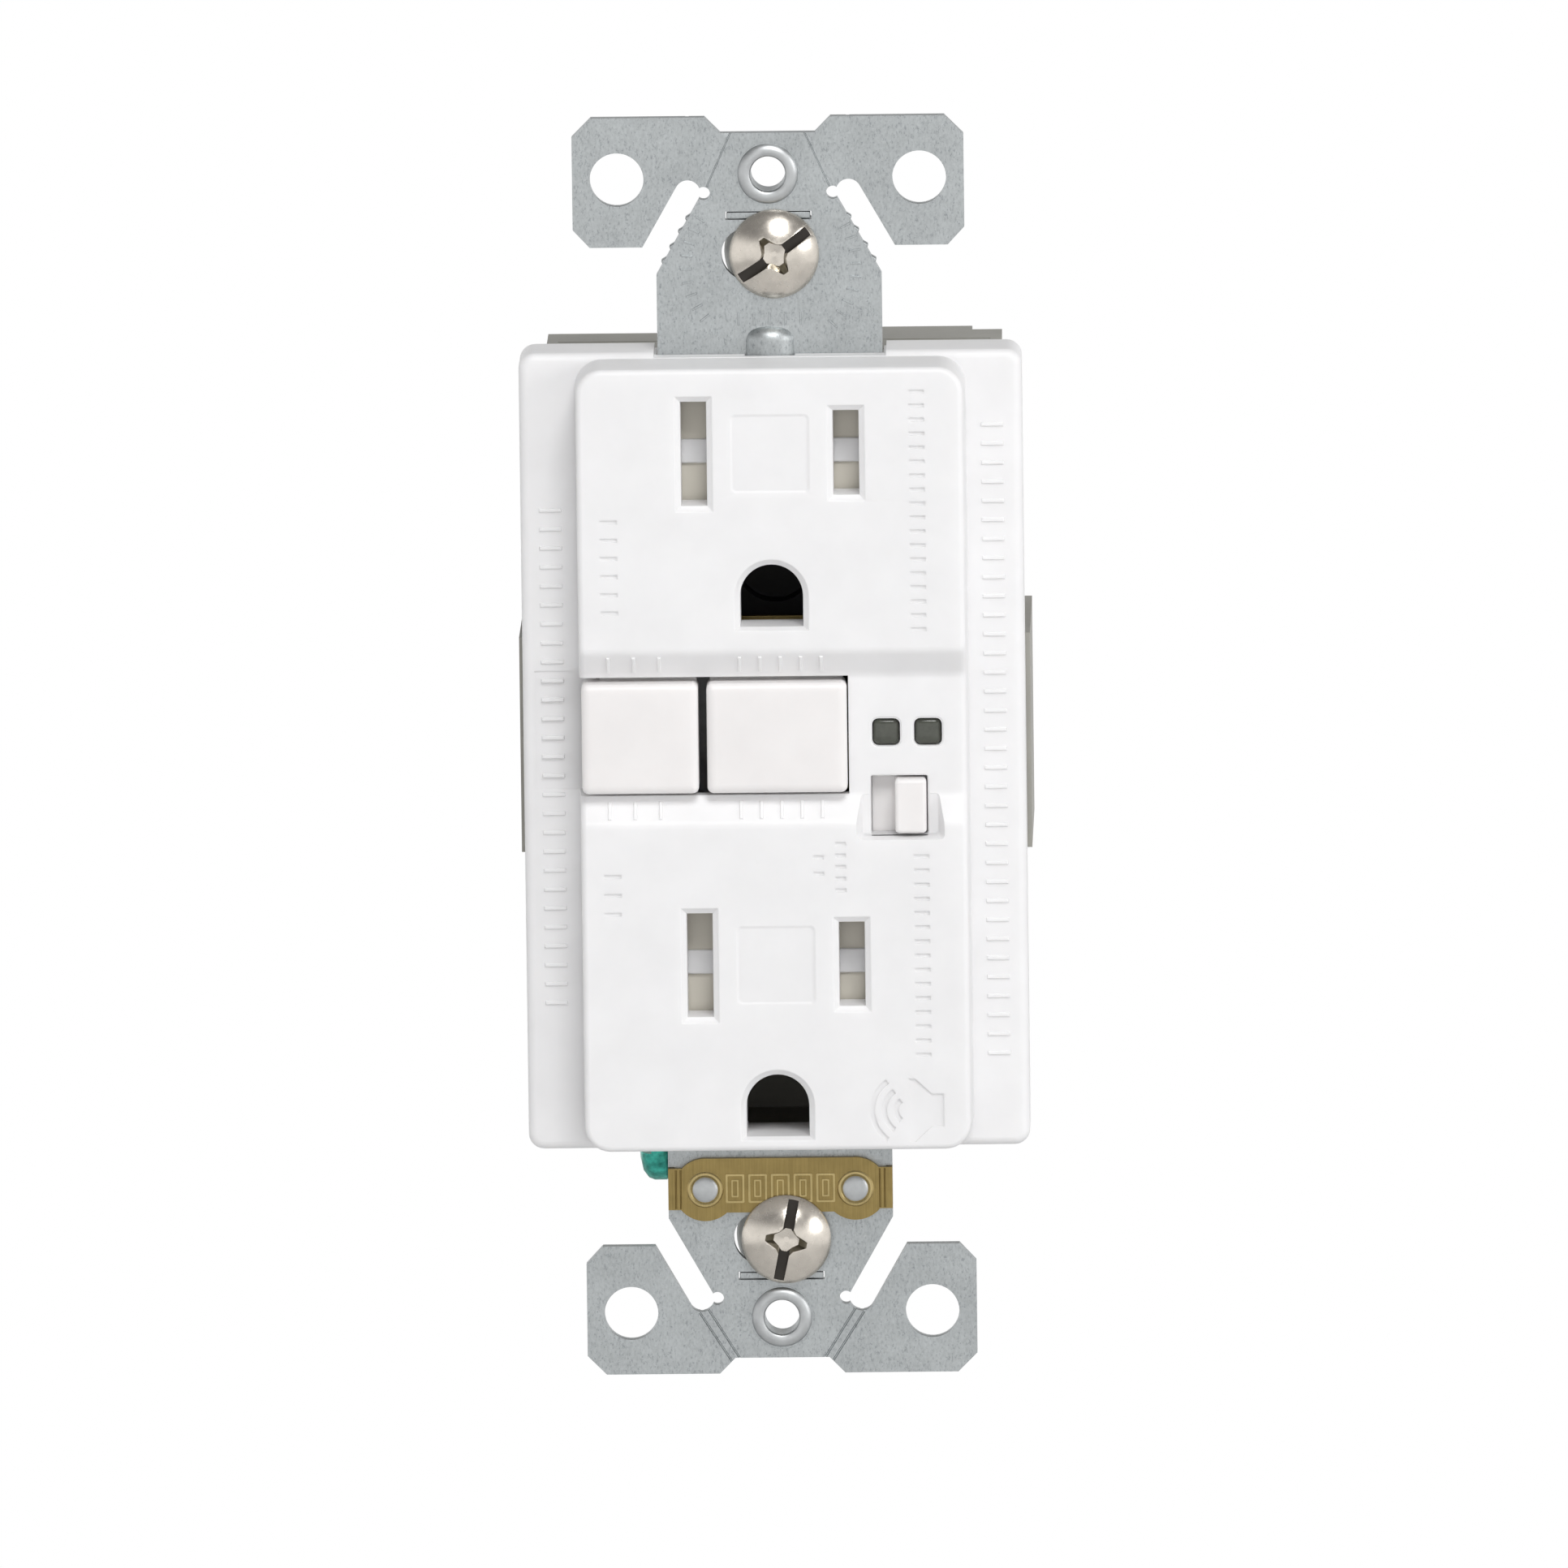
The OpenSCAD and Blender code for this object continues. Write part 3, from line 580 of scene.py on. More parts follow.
def face_block():
    """The raised face: straight sides, a rounded edge all round, and the valley across it."""
    half_w, half_h = FACE_HALF
    bends = (VALLEY[0] - VALLEY_RUN, VALLEY[0], VALLEY[1], VALLEY[1] + VALLEY_RUN)
    near_bends = [b + d for b in bends for d in (-0.4, -0.24, -0.08, 0.08, 0.24, 0.4)]
    rows = sorted([-20.0, -10.0, 1.9, 14.0, 22.0] + near_bends)
    steps = 8

    def outline(inset):
        reach = FACE_CORNER - inset

        def arc(sx, sz, start):
            return [(sx * (half_w - FACE_CORNER) + reach * math.cos(math.radians(start + 90 * k / steps)),
                     sz * (half_h - FACE_CORNER) + reach * math.sin(math.radians(start + 90 * k / steps)))
                    for k in range(steps + 1)]
        return ([(half_w - inset, z) for z in rows] + arc(1, 1, 0) + arc(-1, 1, 90)
                + [(inset - half_w, z) for z in reversed(rows)] + arc(-1, -1, 180) + arc(1, -1, 270))

    rings = [[(x, 0.0, z) for x, z in outline(0)], [(x, SHOULDER_Y, z) for x, z in outline(0)]]
    for inset, drop in edge_profile(0.5, 0.5, 5):
        rings.append([(x, face_front(z) + drop, z) for x, z in outline(0.15 + inset)])
    count = len(rings[0])
    verts = [p for ring in rings for p in ring]
    faces = [(i * count + j, i * count + (j + 1) % count, (i + 1) * count + (j + 1) % count, (i + 1) * count + j)
             for i in range(len(rings) - 1) for j in range(count)]
    faces.append(tuple(range(count)))
    top = (len(rings) - 1) * count
    n = len(rows)
    left = n + 2 * (steps + 1)
    for i in range(n - 1):
        faces.append((top + i, top + i + 1, top + left + n - 2 - i, top + left + n - 1 - i))
    faces.append(tuple(top + i for i in range(n - 1, left + 1)))
    faces.append(tuple(top + i % count for i in range(left + n - 1, count + 1)))
    return add_mesh("front_cover_piece", verts, faces)


def ground_outline(offset):
    r, low = GROUND_R + offset, -GROUND_R - offset * 0.6
    arc = [(r * math.cos(math.radians(a)), r * math.sin(math.radians(a))) for a in range(0, 181, 9)]
    return arc + [(-r, low * 0.5), (-r, low), (-r * 0.5, low), (r * 0.5, low), (r, low), (r, low * 0.5)]


def shifted(outline, x, z):
    return [(a + x, b + z) for a, b in outline]


def tick_row(x, z_from, z_to, size, y_front, y_back, pitch=1.58):
    """Short plain ticks, one above another, where the outlet has a line of small moulded marks."""
    count = max(2, int(abs(z_to - z_from) / pitch))
    return [bar("tick", x, z_from + (z_to - z_from) * (i + 0.5) / count, size / 2, 0.17, y_front, y_back)
            for i in range(count)]


def slope_ticks(x_from, x_to, upper, pitch=1.65):
    """Ticks that lie on the valley's slopes, above and below the buttons."""
    angle = math.degrees(math.atan2(VALLEY_DEPTH, VALLEY_RUN))
    middle_z = VALLEY[1] + VALLEY_RUN / 2 if upper else VALLEY[0] - VALLEY_RUN / 2
    middle_y = FACE_Y + VALLEY_DEPTH / 2
    count = int((x_to - x_from) / pitch)
    ticks = []
    for i in range(count):
        tick = bar("tick", 0, 0, 0.16, 0.85, -0.12, 0.3)
        turned(tick, angle if upper else -angle, "X")
        ticks.append(moved(tick, x_from + (x_to - x_from) * (i + 0.5) / count, middle_y, middle_z))
    return ticks


def arc_band(x, z, r_in, r_out, start, end, y_front, y_back, steps=16):
    angles = [math.radians(start + (end - start) * i / steps) for i in range(steps + 1)]
    outline = [(x + r_out * math.cos(a), z + r_out * math.sin(a)) for a in angles]
    outline += [(x + r_in * math.cos(a), z + r_in * math.sin(a)) for a in reversed(angles)]
    return prism("band", outline, y_front, y_back)


def sounder_mark():
    """A plain sounder pictogram: a horn and three arcs."""
    horn = prism("horn", [(13.9, -28.3), (13.9, -31.1), (12.9, -31.1), (11.5, -32.4), (11.0, -32.4), (11.0, -27.0),
                          (11.5, -27.0), (12.9, -28.3)], FACE_Y - 1, FACE_Y + 0.16)
    marks = [horn]
    for radius in (1.0, 2.0, 3.0):
        marks.append(arc_band(10.9, -29.7, radius - 0.22, radius + 0.22, 125, 235, FACE_Y - 1, FACE_Y + 0.16))
    return marks


def front_cover():
    cover = face_block()
    shoulder = block("shoulder", 21.0, 33.7, 1.3, SHOULDER_Y, 3.0, front=(0.75, 0.75), back=(0.25, 0.25), steps=6)
    boolean(cover, shoulder, "UNION")
    for end in (-1, 1):
        # The shoulder is set back where the strap passes
        z = (33.25, 35.0) if end > 0 else (-35.0, -33.25)
        boolean(cover, box("cut", (-9.7, 9.7), (-6.0, 4.0), z))
    cavity = box("cavity", (-19.4, 19.4), (-1.6, 3.5), (-31.7, 31.7))
    for y, z in (((-7.2, 0.0), (10.4, 31.7)), ((-7.2, 0.0), (-31.7, -6.6)), ((-5.65, 0.0), (-7.0, 11.0))):
        boolean(cavity, box("cavity_part", (-14.9, 14.9), y, z), "UNION")
    # Bosses for the housing screws, and collars that carry the openings' walls down to the shutters
    left_standing = [prism("boss", circle(2.4, 24, side * CORNER[0], end * CORNER[1]), -9.0, 0.0)
                     for side in (-1, 1) for end in (-1, 1)]
    for z in OUTLETS:
        left_standing.append(box("collar", (-BLADE_X - 1.9, -BLADE_X + 1.9), (-9.0, -4.8), (z - 5.2, z + 5.2)))
        left_standing.append(box("collar", (BLADE_X - 1.9, BLADE_X + 1.9), (-9.0, -4.8), (z - 4.35, z + 4.35)))
    for z in GROUNDS:
        left_standing.append(prism("collar", shifted(ground_outline(0.8), 0, z), -9.0, -4.2))
    for post in left_standing:
        boolean(cavity, post)
    boolean(cover, cavity)
    cuts = []
    for z in OUTLETS:
        for x, half_h in ((-BLADE_X, NEUTRAL_HALF), (BLADE_X, HOT_HALF)):
            cuts.append(mouth("slot", lambda o, x=x, z=z, h=half_h: rounded_rect(SLOT_HALF + o, h + o,
                                                                                 0.03 + max(o, 0) * 0.1, 2, x, z),
                              FACE_Y, 0.42, 0.45, 6.0, 0.16))
        cuts.append(loft_y("panel", [(rounded_rect(3.6, 3.6, 0.5, 4, 0, z), FACE_Y - 1.0),
                                     (rounded_rect(3.4, 3.4, 0.45, 4, 0, z), FACE_Y),
                                     (rounded_rect(3.2, 3.2, 0.36, 4, 0, z), FACE_Y + 0.12),
                                     (rounded_rect(3.05, 3.05, 0.3, 4, 0, z), FACE_Y + 0.2)]))
    for z in GROUNDS:
        cuts.append(mouth("ground", lambda o, z=z: shifted(ground_outline(o), 0, z), FACE_Y, 0.42, 0.5, 8.0, 0.16))
    for x in LENS_X:
        cuts.append(mouth("lens_hole", lambda o, x=x: rounded_rect(1.15 + o, 1.15 + o, 0.5 + o, 4, x, LENS_Z),
                          FACE_Y + VALLEY_DEPTH, 0.12, 0.12, 3.0, 0.08))
    for side in (-1, 1):
        for end in (-1, 1):
            cuts.append(prism("pilot", circle(1.1, 20, side * CORNER[0], end * CORNER[1]), -5.5, 0.3))
    cuts.append(box("bay", (-20.0, 6.27), (-9.0, -2.9), (-3.1, 6.9)))
    cuts.append(loft_y("pocket", [(rounded_rect(3.95, 2.3, 0.5, 4, 10.52, -4.7), -9.3),
                                  (rounded_rect(3.6, 1.98, 0.4, 4, 10.52, -4.75), -8.3),
                                  (rounded_rect(3.3, 1.76, 0.3, 4, 10.52, -4.8), -7.2),
                                  (rounded_rect(3.15, 1.66, 0.25, 4, 10.52, -4.8), -7.05)]))
    cuts.append(mouth("alarm", lambda o: rounded_rect(2.35 + o, 2.45 + o, 0.12 + max(o, 0), 3, 10.45, -4.05),
                      -7.05, 0.08, 0.1, 6.0, 0.06))
    for end in (-1, 1):
        cuts.append(box("way", (-9.5, 9.5), (-1.15, 3.2), (30.0, 40.0) if end > 0 else (-40.0, -30.0)))
    cuts.append(prism("rib_way", [(-2.1, 31.0), (2.1, 31.0), (2.1, 36.0), (-2.1, 36.0)], -2.2, 0.0))
    cuts += sounder_mark()
    for cut in cuts:
        boolean(cover, cut)
    raised = [tick for x, z_from, z_to in ((-18.5, 21.3, -22.0), (18.5, 28.2, -26.6))
              for tick in tick_row(x, z_from, z_to, 1.9, SHOULDER_Y - 0.16, SHOULDER_Y + 0.3)]
    for upper in (True, False):
        raised += slope_ticks(-14.8, -8.4, upper) + slope_ticks(-3.6, 4.9, upper)
    boolean(cover, join(raised, "marks"), "UNION")
    sunk = []
    for x, z_from, z_to, size, pitch in ((-13.55, 21.0, 11.8, 1.45, 1.35), (-13.55, -8.9, -13.7, 1.45, 1.35),
                                         (12.25, 31.6, 10.4, 1.3, 1.15), (12.25, -7.6, -25.6, 1.3, 1.15),
                                         (5.5, -6.6, -11.5, 0.9, 0.98), (3.65, -7.5, -10.3, 0.9, 0.98)):
        sunk += tick_row(x, z_from, z_to, size, FACE_Y - 0.5, FACE_Y + 0.15, pitch)
    boolean(cover, join(sunk, "marks"))
    return stands_for(cover, "front_cover")


front_cover()


# ---------------------------------------------------------------- buttons, slider, lenses, shutters

def cap(name, x, half_w, y_front=FACE_Y):
    """A button cap with a soft, pillowed edge."""
    return block(name, half_w, 4.64, 0.55, y_front, -4.8, front=(0.8, 0.5), x=x, z=1.87, steps=6)


test = cap("test_button_piece", -11.125, 4.875)
united(test, bevelled(box("flange", (-14.5, -6.4), (-5.5, -4.6), (-3.7, 7.5)), 0.15),
       prism("post", circle(1.0, 24, -10.6, 1.9), -4.9, 12.5))
stands_for(test, "test_button")

reset = cap("reset_button_piece", 0.3, 5.85)
united(reset, bevelled(box("flange", (-5.3, 5.85), (-5.5, -4.6), (-3.7, 7.5)), 0.15))
stands_for(reset, "reset_button")

knob = block("alarm_slider_piece", 1.31, 2.28, 0.35, -8.3, -5.0, front=(0.34, 0.34), x=11.4, z=-4.05, steps=5)
united(knob, bevelled(box("plate", (8.1, 13.9), (-5.55, -4.9), (-6.9, -1.2)), 0.12),
       bevelled(box("drive", (10.8, 12.0), (-5.0, -2.4), (-4.65, -3.45)), 0.12))
stands_for(knob, "alarm_slider")

for node, x in (("indicator_lens_left", LENS_X[0]), ("indicator_lens_right", LENS_X[1])):
    lens = loft_y(node + "_piece", [(rounded_rect(1.1 - i, 1.1 - i, 0.5 - i * 0.45, 5, x, LENS_Z), -6.85 + d)
                                    for i, d in ((0.0, 1.45), (0.0, 0.5), (0.03, 0.3), (0.1, 0.17), (0.25, 0.08),
                                                 (0.5, 0.025), (0.75, 0.0))])
    united(lens, bevelled(box("pipe", (x - 0.9, x + 0.9), (-5.5, 11.5), (LENS_Z - 0.9, LENS_Z + 0.9)), 0.1))
    stands_for(lens, node, soften=50.0)

for node, z in (("upper_shutter", OUTLETS[0]), ("lower_shutter", OUTLETS[1])):
    plate = box(node + "_piece", (-11.0, 8.6), (-4.4, -2.6), (z - 5.0, z + 5.0))
    for x in (-BLADE_X - 2.8, BLADE_X - 2.8):
        boolean(plate, box("window", (x - 1.2, x + 1.2), (-6, 0), (z - 4.6, z + 4.6)))
    stands_for(bevelled(plate, 0.12), node)
    ridge = block(node + "_ridge", 9.8, 1.02, 0.15, -4.7, -4.3, front=(0.15, 0.15), x=-1.2, z=z - 0.3, steps=3)
    for x in (-BLADE_X - 2.8, BLADE_X - 2.8):
        boolean(ridge, box("window", (x - 1.2, x + 1.2), (-6, 0), (z - 4.6, z + 4.6)))
    ridge.data.materials.append(MATERIALS["white_plastic"])
    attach(smooth(ridge), NODE_BODY[node])


# ---------------------------------------------------------------- strap and grounding parts

STRAP_T = 1.1
EYELET_Z = 48.42
SCREW_X = 0.45
SCREW_Z = 41.67
CLIP_RIVET = (6.3, -37.45)
RIB_SPREAD = 1.25
RIB_END = 1.25
RIB_SIDES = 28


def groove(points, width, depth, y_face=-STRAP_T):
    """Cutter for a thin pressed line through (x, z) points."""
    pieces = []
    for (x0, z0), (x1, z1) in zip(points, points[1:]):
        dx, dz = x1 - x0, z1 - z0
        length = math.hypot(dx, dz)
        nx, nz = -dz / length * width / 2, dx / length * width / 2
        top = [(x0 + nx, z0 + nz), (x1 + nx, z1 + nz), (x1 - nx, z1 - nz), (x0 - nx, z0 - nz)]
        bottom = [(x0 + nx * 0.3, z0 + nz * 0.3), (x1 + nx * 0.3, z1 + nz * 0.3), (x1 - nx * 0.3, z1 - nz * 0.3),
                  (x0 - nx * 0.3, z0 - nz * 0.3)]
        pieces.append(loft_y("groove", [(top, y_face - 0.2), (top, y_face), (bottom, y_face + depth)]))
    return pieces


def dome_bar(x, z_top, z_bottom, radius, y_centre):
    """A round rib, wider than deep, with a rounded upper end."""
    sections = [(z_bottom, radius)]
    for angle in (0, 15, 30, 45, 60, 72, 82):
        a = math.radians(angle)
        sections.append((z_top - RIB_END * (1 - math.sin(a)), radius * math.cos(a) ** 0.6))
    rings = []
    for z, r in sections:
        turns = [math.tau * k / RIB_SIDES for k in range(RIB_SIDES)]
        rings.append([(x + RIB_SPREAD * r * math.cos(a), y_centre + r * math.sin(a), z) for a in turns])
    return loft("rib", rings)


def mounting_strap():
    strap = copy_node("mounting_strap", "mounting_strap_piece")
    boolean(strap, box("clear", (-2.2, 2.2), (-3.5, -STRAP_T), (31.0, 36.0)))
    rib = dome_bar(0.0, 35.6, 31.4, 1.85, -0.2)
    boolean(rib, box("behind", (-3.0, 3.0), (-0.3, 3.0), (31.0, 36.5)))
    boolean(strap, rib, "UNION")
    bevelled(strap, 0.16, 2, 40.0)
    cuts = []
    for end in (-1, 1):
        cuts.append(arc_band(0.0, end * EYELET_Z, 2.62, 2.74, 0, 359.9, -1.4, -1.05, 60))
    for side in (-1, 1):
        # Break-off lines: one at the top, a pair at the bottom
        cuts += groove([(side * 2.95, 52.2), (side * 5.15, 47.3)], 0.16, 0.07)
        cuts += groove([(side * 3.4, -52.2), (side * 6.3, -47.5)], 0.2, 0.12)
        cuts += groove([(side * 4.1, -52.4), (side * 6.9, -48.0)], 0.2, 0.12)
    for cut in cuts:
        boolean(strap, cut)
    extras = []
    for end in (-1, 1):
        # The lanced tab fills its slot, and the eyelet's rim stands proud
        extras.append(bevelled(box("tab", (-3.5, 3.5), (-1.0, -0.1), (end * 44.9 - 0.27, end * 44.9 + 0.27)), 0.1))
        rim = ring("rim", [(1.47, -0.4), (1.47, -1.18), (1.56, -1.37), (1.76, -1.47), (2.02, -1.47), (2.28, -1.37),
                           (2.48, -1.21), (2.58, -1.02), (2.58, -0.4)], 56)
        extras.append(moved(rim, 0, 0, end * EYELET_Z))
    for side in (-1, 1):
        for z in (41.1, 42.3, 43.6, 44.7):
            x = 9.4 - 0.568 * (z - 39.95)
            nib = block("nib", 0.42, 0.3, 0.15, -1.02, -0.12, front=(0.12, 0.12), steps=3)
            extras.append(moved(turned(nib, side * 30, "Y"), side * (x - 0.22), 0, z))
    extras.append(arc_band(6.75, 47.1, 1.75, 2.0, 8, 128, -STRAP_T - 0.05, -STRAP_T + 0.2))
    for part in extras:
        finish = "bright_steel" if part.name.startswith("rim") else "zinc_steel"
        part.data.materials.append(MATERIALS[finish])
    strap.data.materials.append(MATERIALS["zinc_steel"])
    # Small plain marks pressed round the upper screw
    for angle in list(range(146, 226, 9)) + list(range(-44, 36, 9)):
        mark = bar("mark", 7.1, 0, 0.5, 0.1, -STRAP_T - 0.07, -STRAP_T + 0.2, 0.04)
        extras.append(moved(turned(mark, -angle, "Y"), SCREW_X * 0.4, 0, SCREW_Z - 1.0))
    for x in (-2.6, -1.3, 0.0, 1.3, 2.6):
        extras.append(bar("mark", x, 36.2, 0.1, 0.55, -STRAP_T - 0.07, -STRAP_T + 0.2, 0.04))
    for part in extras:
        if not part.data.materials:
            part.data.materials.append(MATERIALS["zinc_steel"])
    strap = join([strap] + extras, "mounting_strap_piece")
    return stands_for(strap, "mounting_strap", soften=38.0)


mounting_strap()


def rivet_head(name, r, height, y_face, x, z):
    """A low domed rivet head that stands on y_face."""
    profile = [(r, y_face + 0.1), (r, y_face - height * 0.25)]
    for angle in (20, 40, 60, 78):
        a = math.radians(angle)
        profile.append((r * math.cos(a), y_face - height * (0.25 + 0.75 * math.sin(a))))
    return moved(lathe(name, profile, 32), x, 0, z)


# Painted highlight: a lighter, glossier copy of the brass, for the clip's raised coins, frame lines and pads.
HIGHLIGHT_BRASS = brushed_brass("painted_highlight_brass", (0.52, 0.41, 0.19), 0.3)


def bonding_clip():
    clip = copy_node("bonding_clip", "bonding_clip_piece")
    bevelled(clip, 0.09, 2, 40.0)
    extras = []
    for side in (-1, 1):
        x, z = side * CLIP_RIVET[0], CLIP_RIVET[1]
        extras.append(moved(ring("coin", [(1.14, -1.5), (1.14, -1.74), (1.26, -1.84), (1.42, -1.82), (1.54, -1.7),
                                          (1.56, -1.5)], 48), x, 0, z))
        for line in (8.35, 8.75):
            for cut in groove([(side * line, -39.05), (side * line, -35.75)], 0.14, 0.08, -1.7):
                boolean(clip, cut)
    for k in range(5):
        x = -3.8 + 1.9 * k
        frame_line = prism("frame_line", rounded_rect(0.78, 1.22, 0.1, 2, x, -37.35), -1.78, -1.6)
        boolean(frame_line, prism("inside", rounded_rect(0.62, 1.06, 0.08, 2, x, -37.35), -2.0, -1.0))
        pad = prism("pad", rounded_rect(0.3, 0.74, 0.08, 2, x, -37.35), -1.77, -1.6)
        boolean(pad, prism("inside", rounded_rect(0.18, 0.62, 0.06, 2, x, -37.35), -2.0, -1.0))
        extras += [frame_line, pad]
    # The raised marks take the painted-highlight brass.
    for part in extras:
        part.data.materials.append(HIGHLIGHT_BRASS)
    clip.data.materials.append(MATERIALS["brass"])
    clip = join([clip] + extras, "bonding_clip_piece")
    return stands_for(clip, "bonding_clip")


bonding_clip()

heads = []
for side in (-1, 1):
    x, z = side * CLIP_RIVET[0], CLIP_RIVET[1]
    heads += [rivet_head("rivet", 1.08, 0.3, -1.7, x, z), prism("shank", circle(0.88, 24, x, z), -1.75, 0.2),
              prism("tail", circle(1.5, 32, x, z), 0.0, 0.5)]
stands_for(join(heads, "bonding_clip_rivets_piece"), "bonding_clip_rivets", soften=40)


def ground_screw():
    x, y, z = -8.3, 6.6, -34.8
    profile = [(2.2, 0.0), (2.95, -0.0), (3.1, -0.2), (3.1, -1.2), (2.9, -1.7), (2.3, -2.15), (1.2, -2.4), (0.3, -2.45)]
    head = lathe("ground_screw_piece", profile, 48)
    boolean(head, box("slot", (-3.6, 3.6), (-3.0, -1.45), (-0.45, 0.45)))
    bevelled(head, 0.08, 2, 35)
    shank = threaded_rod("thread", 2.02, 0.794, -0.3, 3.85, 0.3, 32, 8)
    screw = join([head, shank], "ground_screw_piece")
    turned(screw, -90, "Z")
    # The head looks to the left
    moved(screw, -9.45, y, z)
    return stands_for(screw, "ground_screw", soften=36)


ground_screw()


# ---------------------------------------------------------------- screws that hold the outlet in its box

# Painted shade for the screw heads' recesses: a dark copy of the nickel and a half-dark one.
RECESS_PAINTED_SHADE = plated_steel("recess_painted_shade", (0.055, 0.05, 0.045), 0.35)
RECESS_PAINTED_HALF_SHADE = plated_steel("recess_painted_half_shade", (0.30, 0.275, 0.22), 0.3)


def mounting_screw(node, head_y, end, angle):
    """Pan head with a slot, a cross and a square recess; threaded shank behind the strap."""
    radius, height = 3.75, 1.78
    ball = (radius * radius + (height - 0.22) ** 2) / (2 * (height - 0.22))
    profile = [(1.7, head_y), (radius - 0.1, head_y), (radius, head_y - 0.08), (radius, head_y - 0.2)]
    for k in range(1, 13):
        r = radius * (1 - k / 12.6)
        profile.append((r, head_y - 0.22 - (math.sqrt(ball * ball - r * r) - (ball - (height - 0.22)))))
    head = lathe(node + "_piece", profile, 56)
    top = head_y - height
    def star(long, wide, waist):
        """Four blunt points along the slot and across it."""
        points = []
        for quarter in range(4):
            reach, a = (long, wide)[quarter % 2], math.radians(90 * quarter)
            for along, across in ((reach, -0.24), (reach, 0.24)):
                points.append((along * math.cos(a) - across * math.sin(a),
                               along * math.sin(a) + across * math.cos(a)))
            points.append((waist * math.cos(a + math.pi / 4), waist * math.sin(a + math.pi / 4)))
        return points

    def dome(r):
        return head_y - 0.22 - (math.sqrt(ball * ball - r * r) - (ball - (height - 0.22)))

    for cut in (loft_y("slot", [(rounded_rect(3.52, 0.47, 0.06, 2), top - 0.5),
                                (rounded_rect(3.5, 0.43, 0.06, 2), top + 1.3)]),
                loft_y("star", [(star(1.5, 1.95, 1.12), top - 0.5), (star(1.4, 1.8, 1.02), top + 0.25),
                                (star(0.95, 1.05, 0.82), top + 1.35)]),
                lathe("cone", [(0.84, top + 0.8), (0.8, top + 1.34), (0.04, top + 1.66)], 28)):
        boolean(head, cut)
    bevelled(head, 0.05, 2, 38)
    # Painted shade in the recess: in the slot's arms the floor and the upper walls take the darkest painted shade and
    # the lower walls a lighter painted shade; the cross and the upper part of the cone take the lighter one, and the
    # bottom of the cone stays plain nickel.
    for material in (MATERIALS["nickel_steel"], RECESS_PAINTED_SHADE, RECESS_PAINTED_HALF_SHADE):
        head.data.materials.append(material)
    for face in head.data.polygons:
        x, y, z = face.center / MM
        r = math.hypot(x, z)
        if r < 3.7 and y > dome(min(r, 3.7)) + 0.09 and y < head_y - 0.05:
            if abs(x) > 1.3:
                face.material_index = 1 if abs(face.normal.y) > 0.5 or z > 0 else 2
            elif y < top + 1.3:
                face.material_index = 2
    neck = lathe("neck", [(1.25, head_y - 0.2), (1.25, 1.8)], 32)
    shank = threaded_rod("shank", 1.74, 0.794, 1.7, 17.0, 0.3, 32, 8)
    tip = lathe("tip", [(1.3, 16.9), (1.25, 17.5), (0.95, 17.9)], 32)
    for part in (neck, shank, tip):
        part.data.materials.append(MATERIALS["nickel_steel"])
    screw = join([head, neck, shank, tip], node + "_piece")
    turned(screw, angle, "Y")
    moved(screw, SCREW_X, 0, end * SCREW_Z)
    return stands_for(screw, node, soften=36)


mounting_screw("mounting_screw_upper", -1.13, 1, -35.0)
mounting_screw("mounting_screw_lower", -1.73, -1, -78.7)

for node, end in (("screw_retainer_upper", 1), ("screw_retainer_lower", -1)):
    washer = lathe(node + "_piece", [(1.85, 0.92), (4.05, 0.9), (4.2, 1.02), (4.2, 1.48), (4.08, 1.6), (1.85, 1.6)], 56)
    boolean(washer, lathe("hole", [(1.8, 0.0), (1.8, 3.0)], 40))
    moved(washer, SCREW_X, 0, end * SCREW_Z)
    stands_for(washer, node)


# ---------------------------------------------------------------- pieces kept from the CAD, edges softened

def softened(node, width=0.12, degrees=34.0, soften=36.0):
    return stands_for(bevelled(copy_node(node), width, 2, degrees), node, soften=soften)


SOFTENED = {
    "slide_switch_body": 0.15, "inner_frame": 0.15, "contact_lifter": 0.12, "latch_plate": 0.08,
    "solenoid_bobbin": 0.12, "solenoid_coil": 0.25, "plunger": 0.1, "circuit_board": 0.05, "test_leaf": 0.04,
    "transformer_boot": 0.2, "neutral_core": 0.3, "sensing_core": 0.3, "varistor": 0.4, "alarm_buzzer": 0.3,
    "control_chip": 0.12, "filter_capacitors": 0.3, "housing_screws": 0.12, "ground_contact_upper": 0.06,
    "ground_contact_lower": 0.06, "ground_contact_rivets": 0.12, "reset_pin": 0.15, "hot_contact_bar": 0.08,
    "neutral_contact_bar": 0.08, "hot_contact_arm": 0.08, "neutral_contact_arm": 0.08,
}
for terminal in ("load_hot", "load_neutral", "line_hot", "line_neutral"):
    SOFTENED[terminal + "_plate"] = 0.1
    SOFTENED[terminal + "_clamp"] = 0.12
    SOFTENED[terminal + "_screw"] = 0.12
# The housing's roof has shallow mould lines and a step at the back
roof_cuts = [box("line", (-18.2, 18.2), (y, y + 0.5), (31.15, 32.0)) for y in (8.0, 13.5, 19.0)]
roof_cuts += [box("step", (-20.0, -9.9), (24.2, 27.0), (31.0, 32.0)),
              box("step", (16.6, 20.0), (23.4, 27.0), (31.1, 32.0))]
housing = copy_node("rear_housing")
for cut in roof_cuts:
    boolean(housing, cut)
stands_for(housing, "rear_housing", soften=36.0)
for node, width in SOFTENED.items():
    softened(node, width)


def yielding_spring(node, axis):
    """A spring copied from its CAD node into that node's place, with a mesh of its own; the anchor it works out from
    axis (0, 1, 2 for X, Y, Z) is not used.
    """
    spring = copy_node(node)
    low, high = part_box(node)
    anchor = [(low[k] + high[k]) / 2 for k in range(3)]
    anchor[axis] = high[axis]
    stands_for(spring, node)
    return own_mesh(spring)


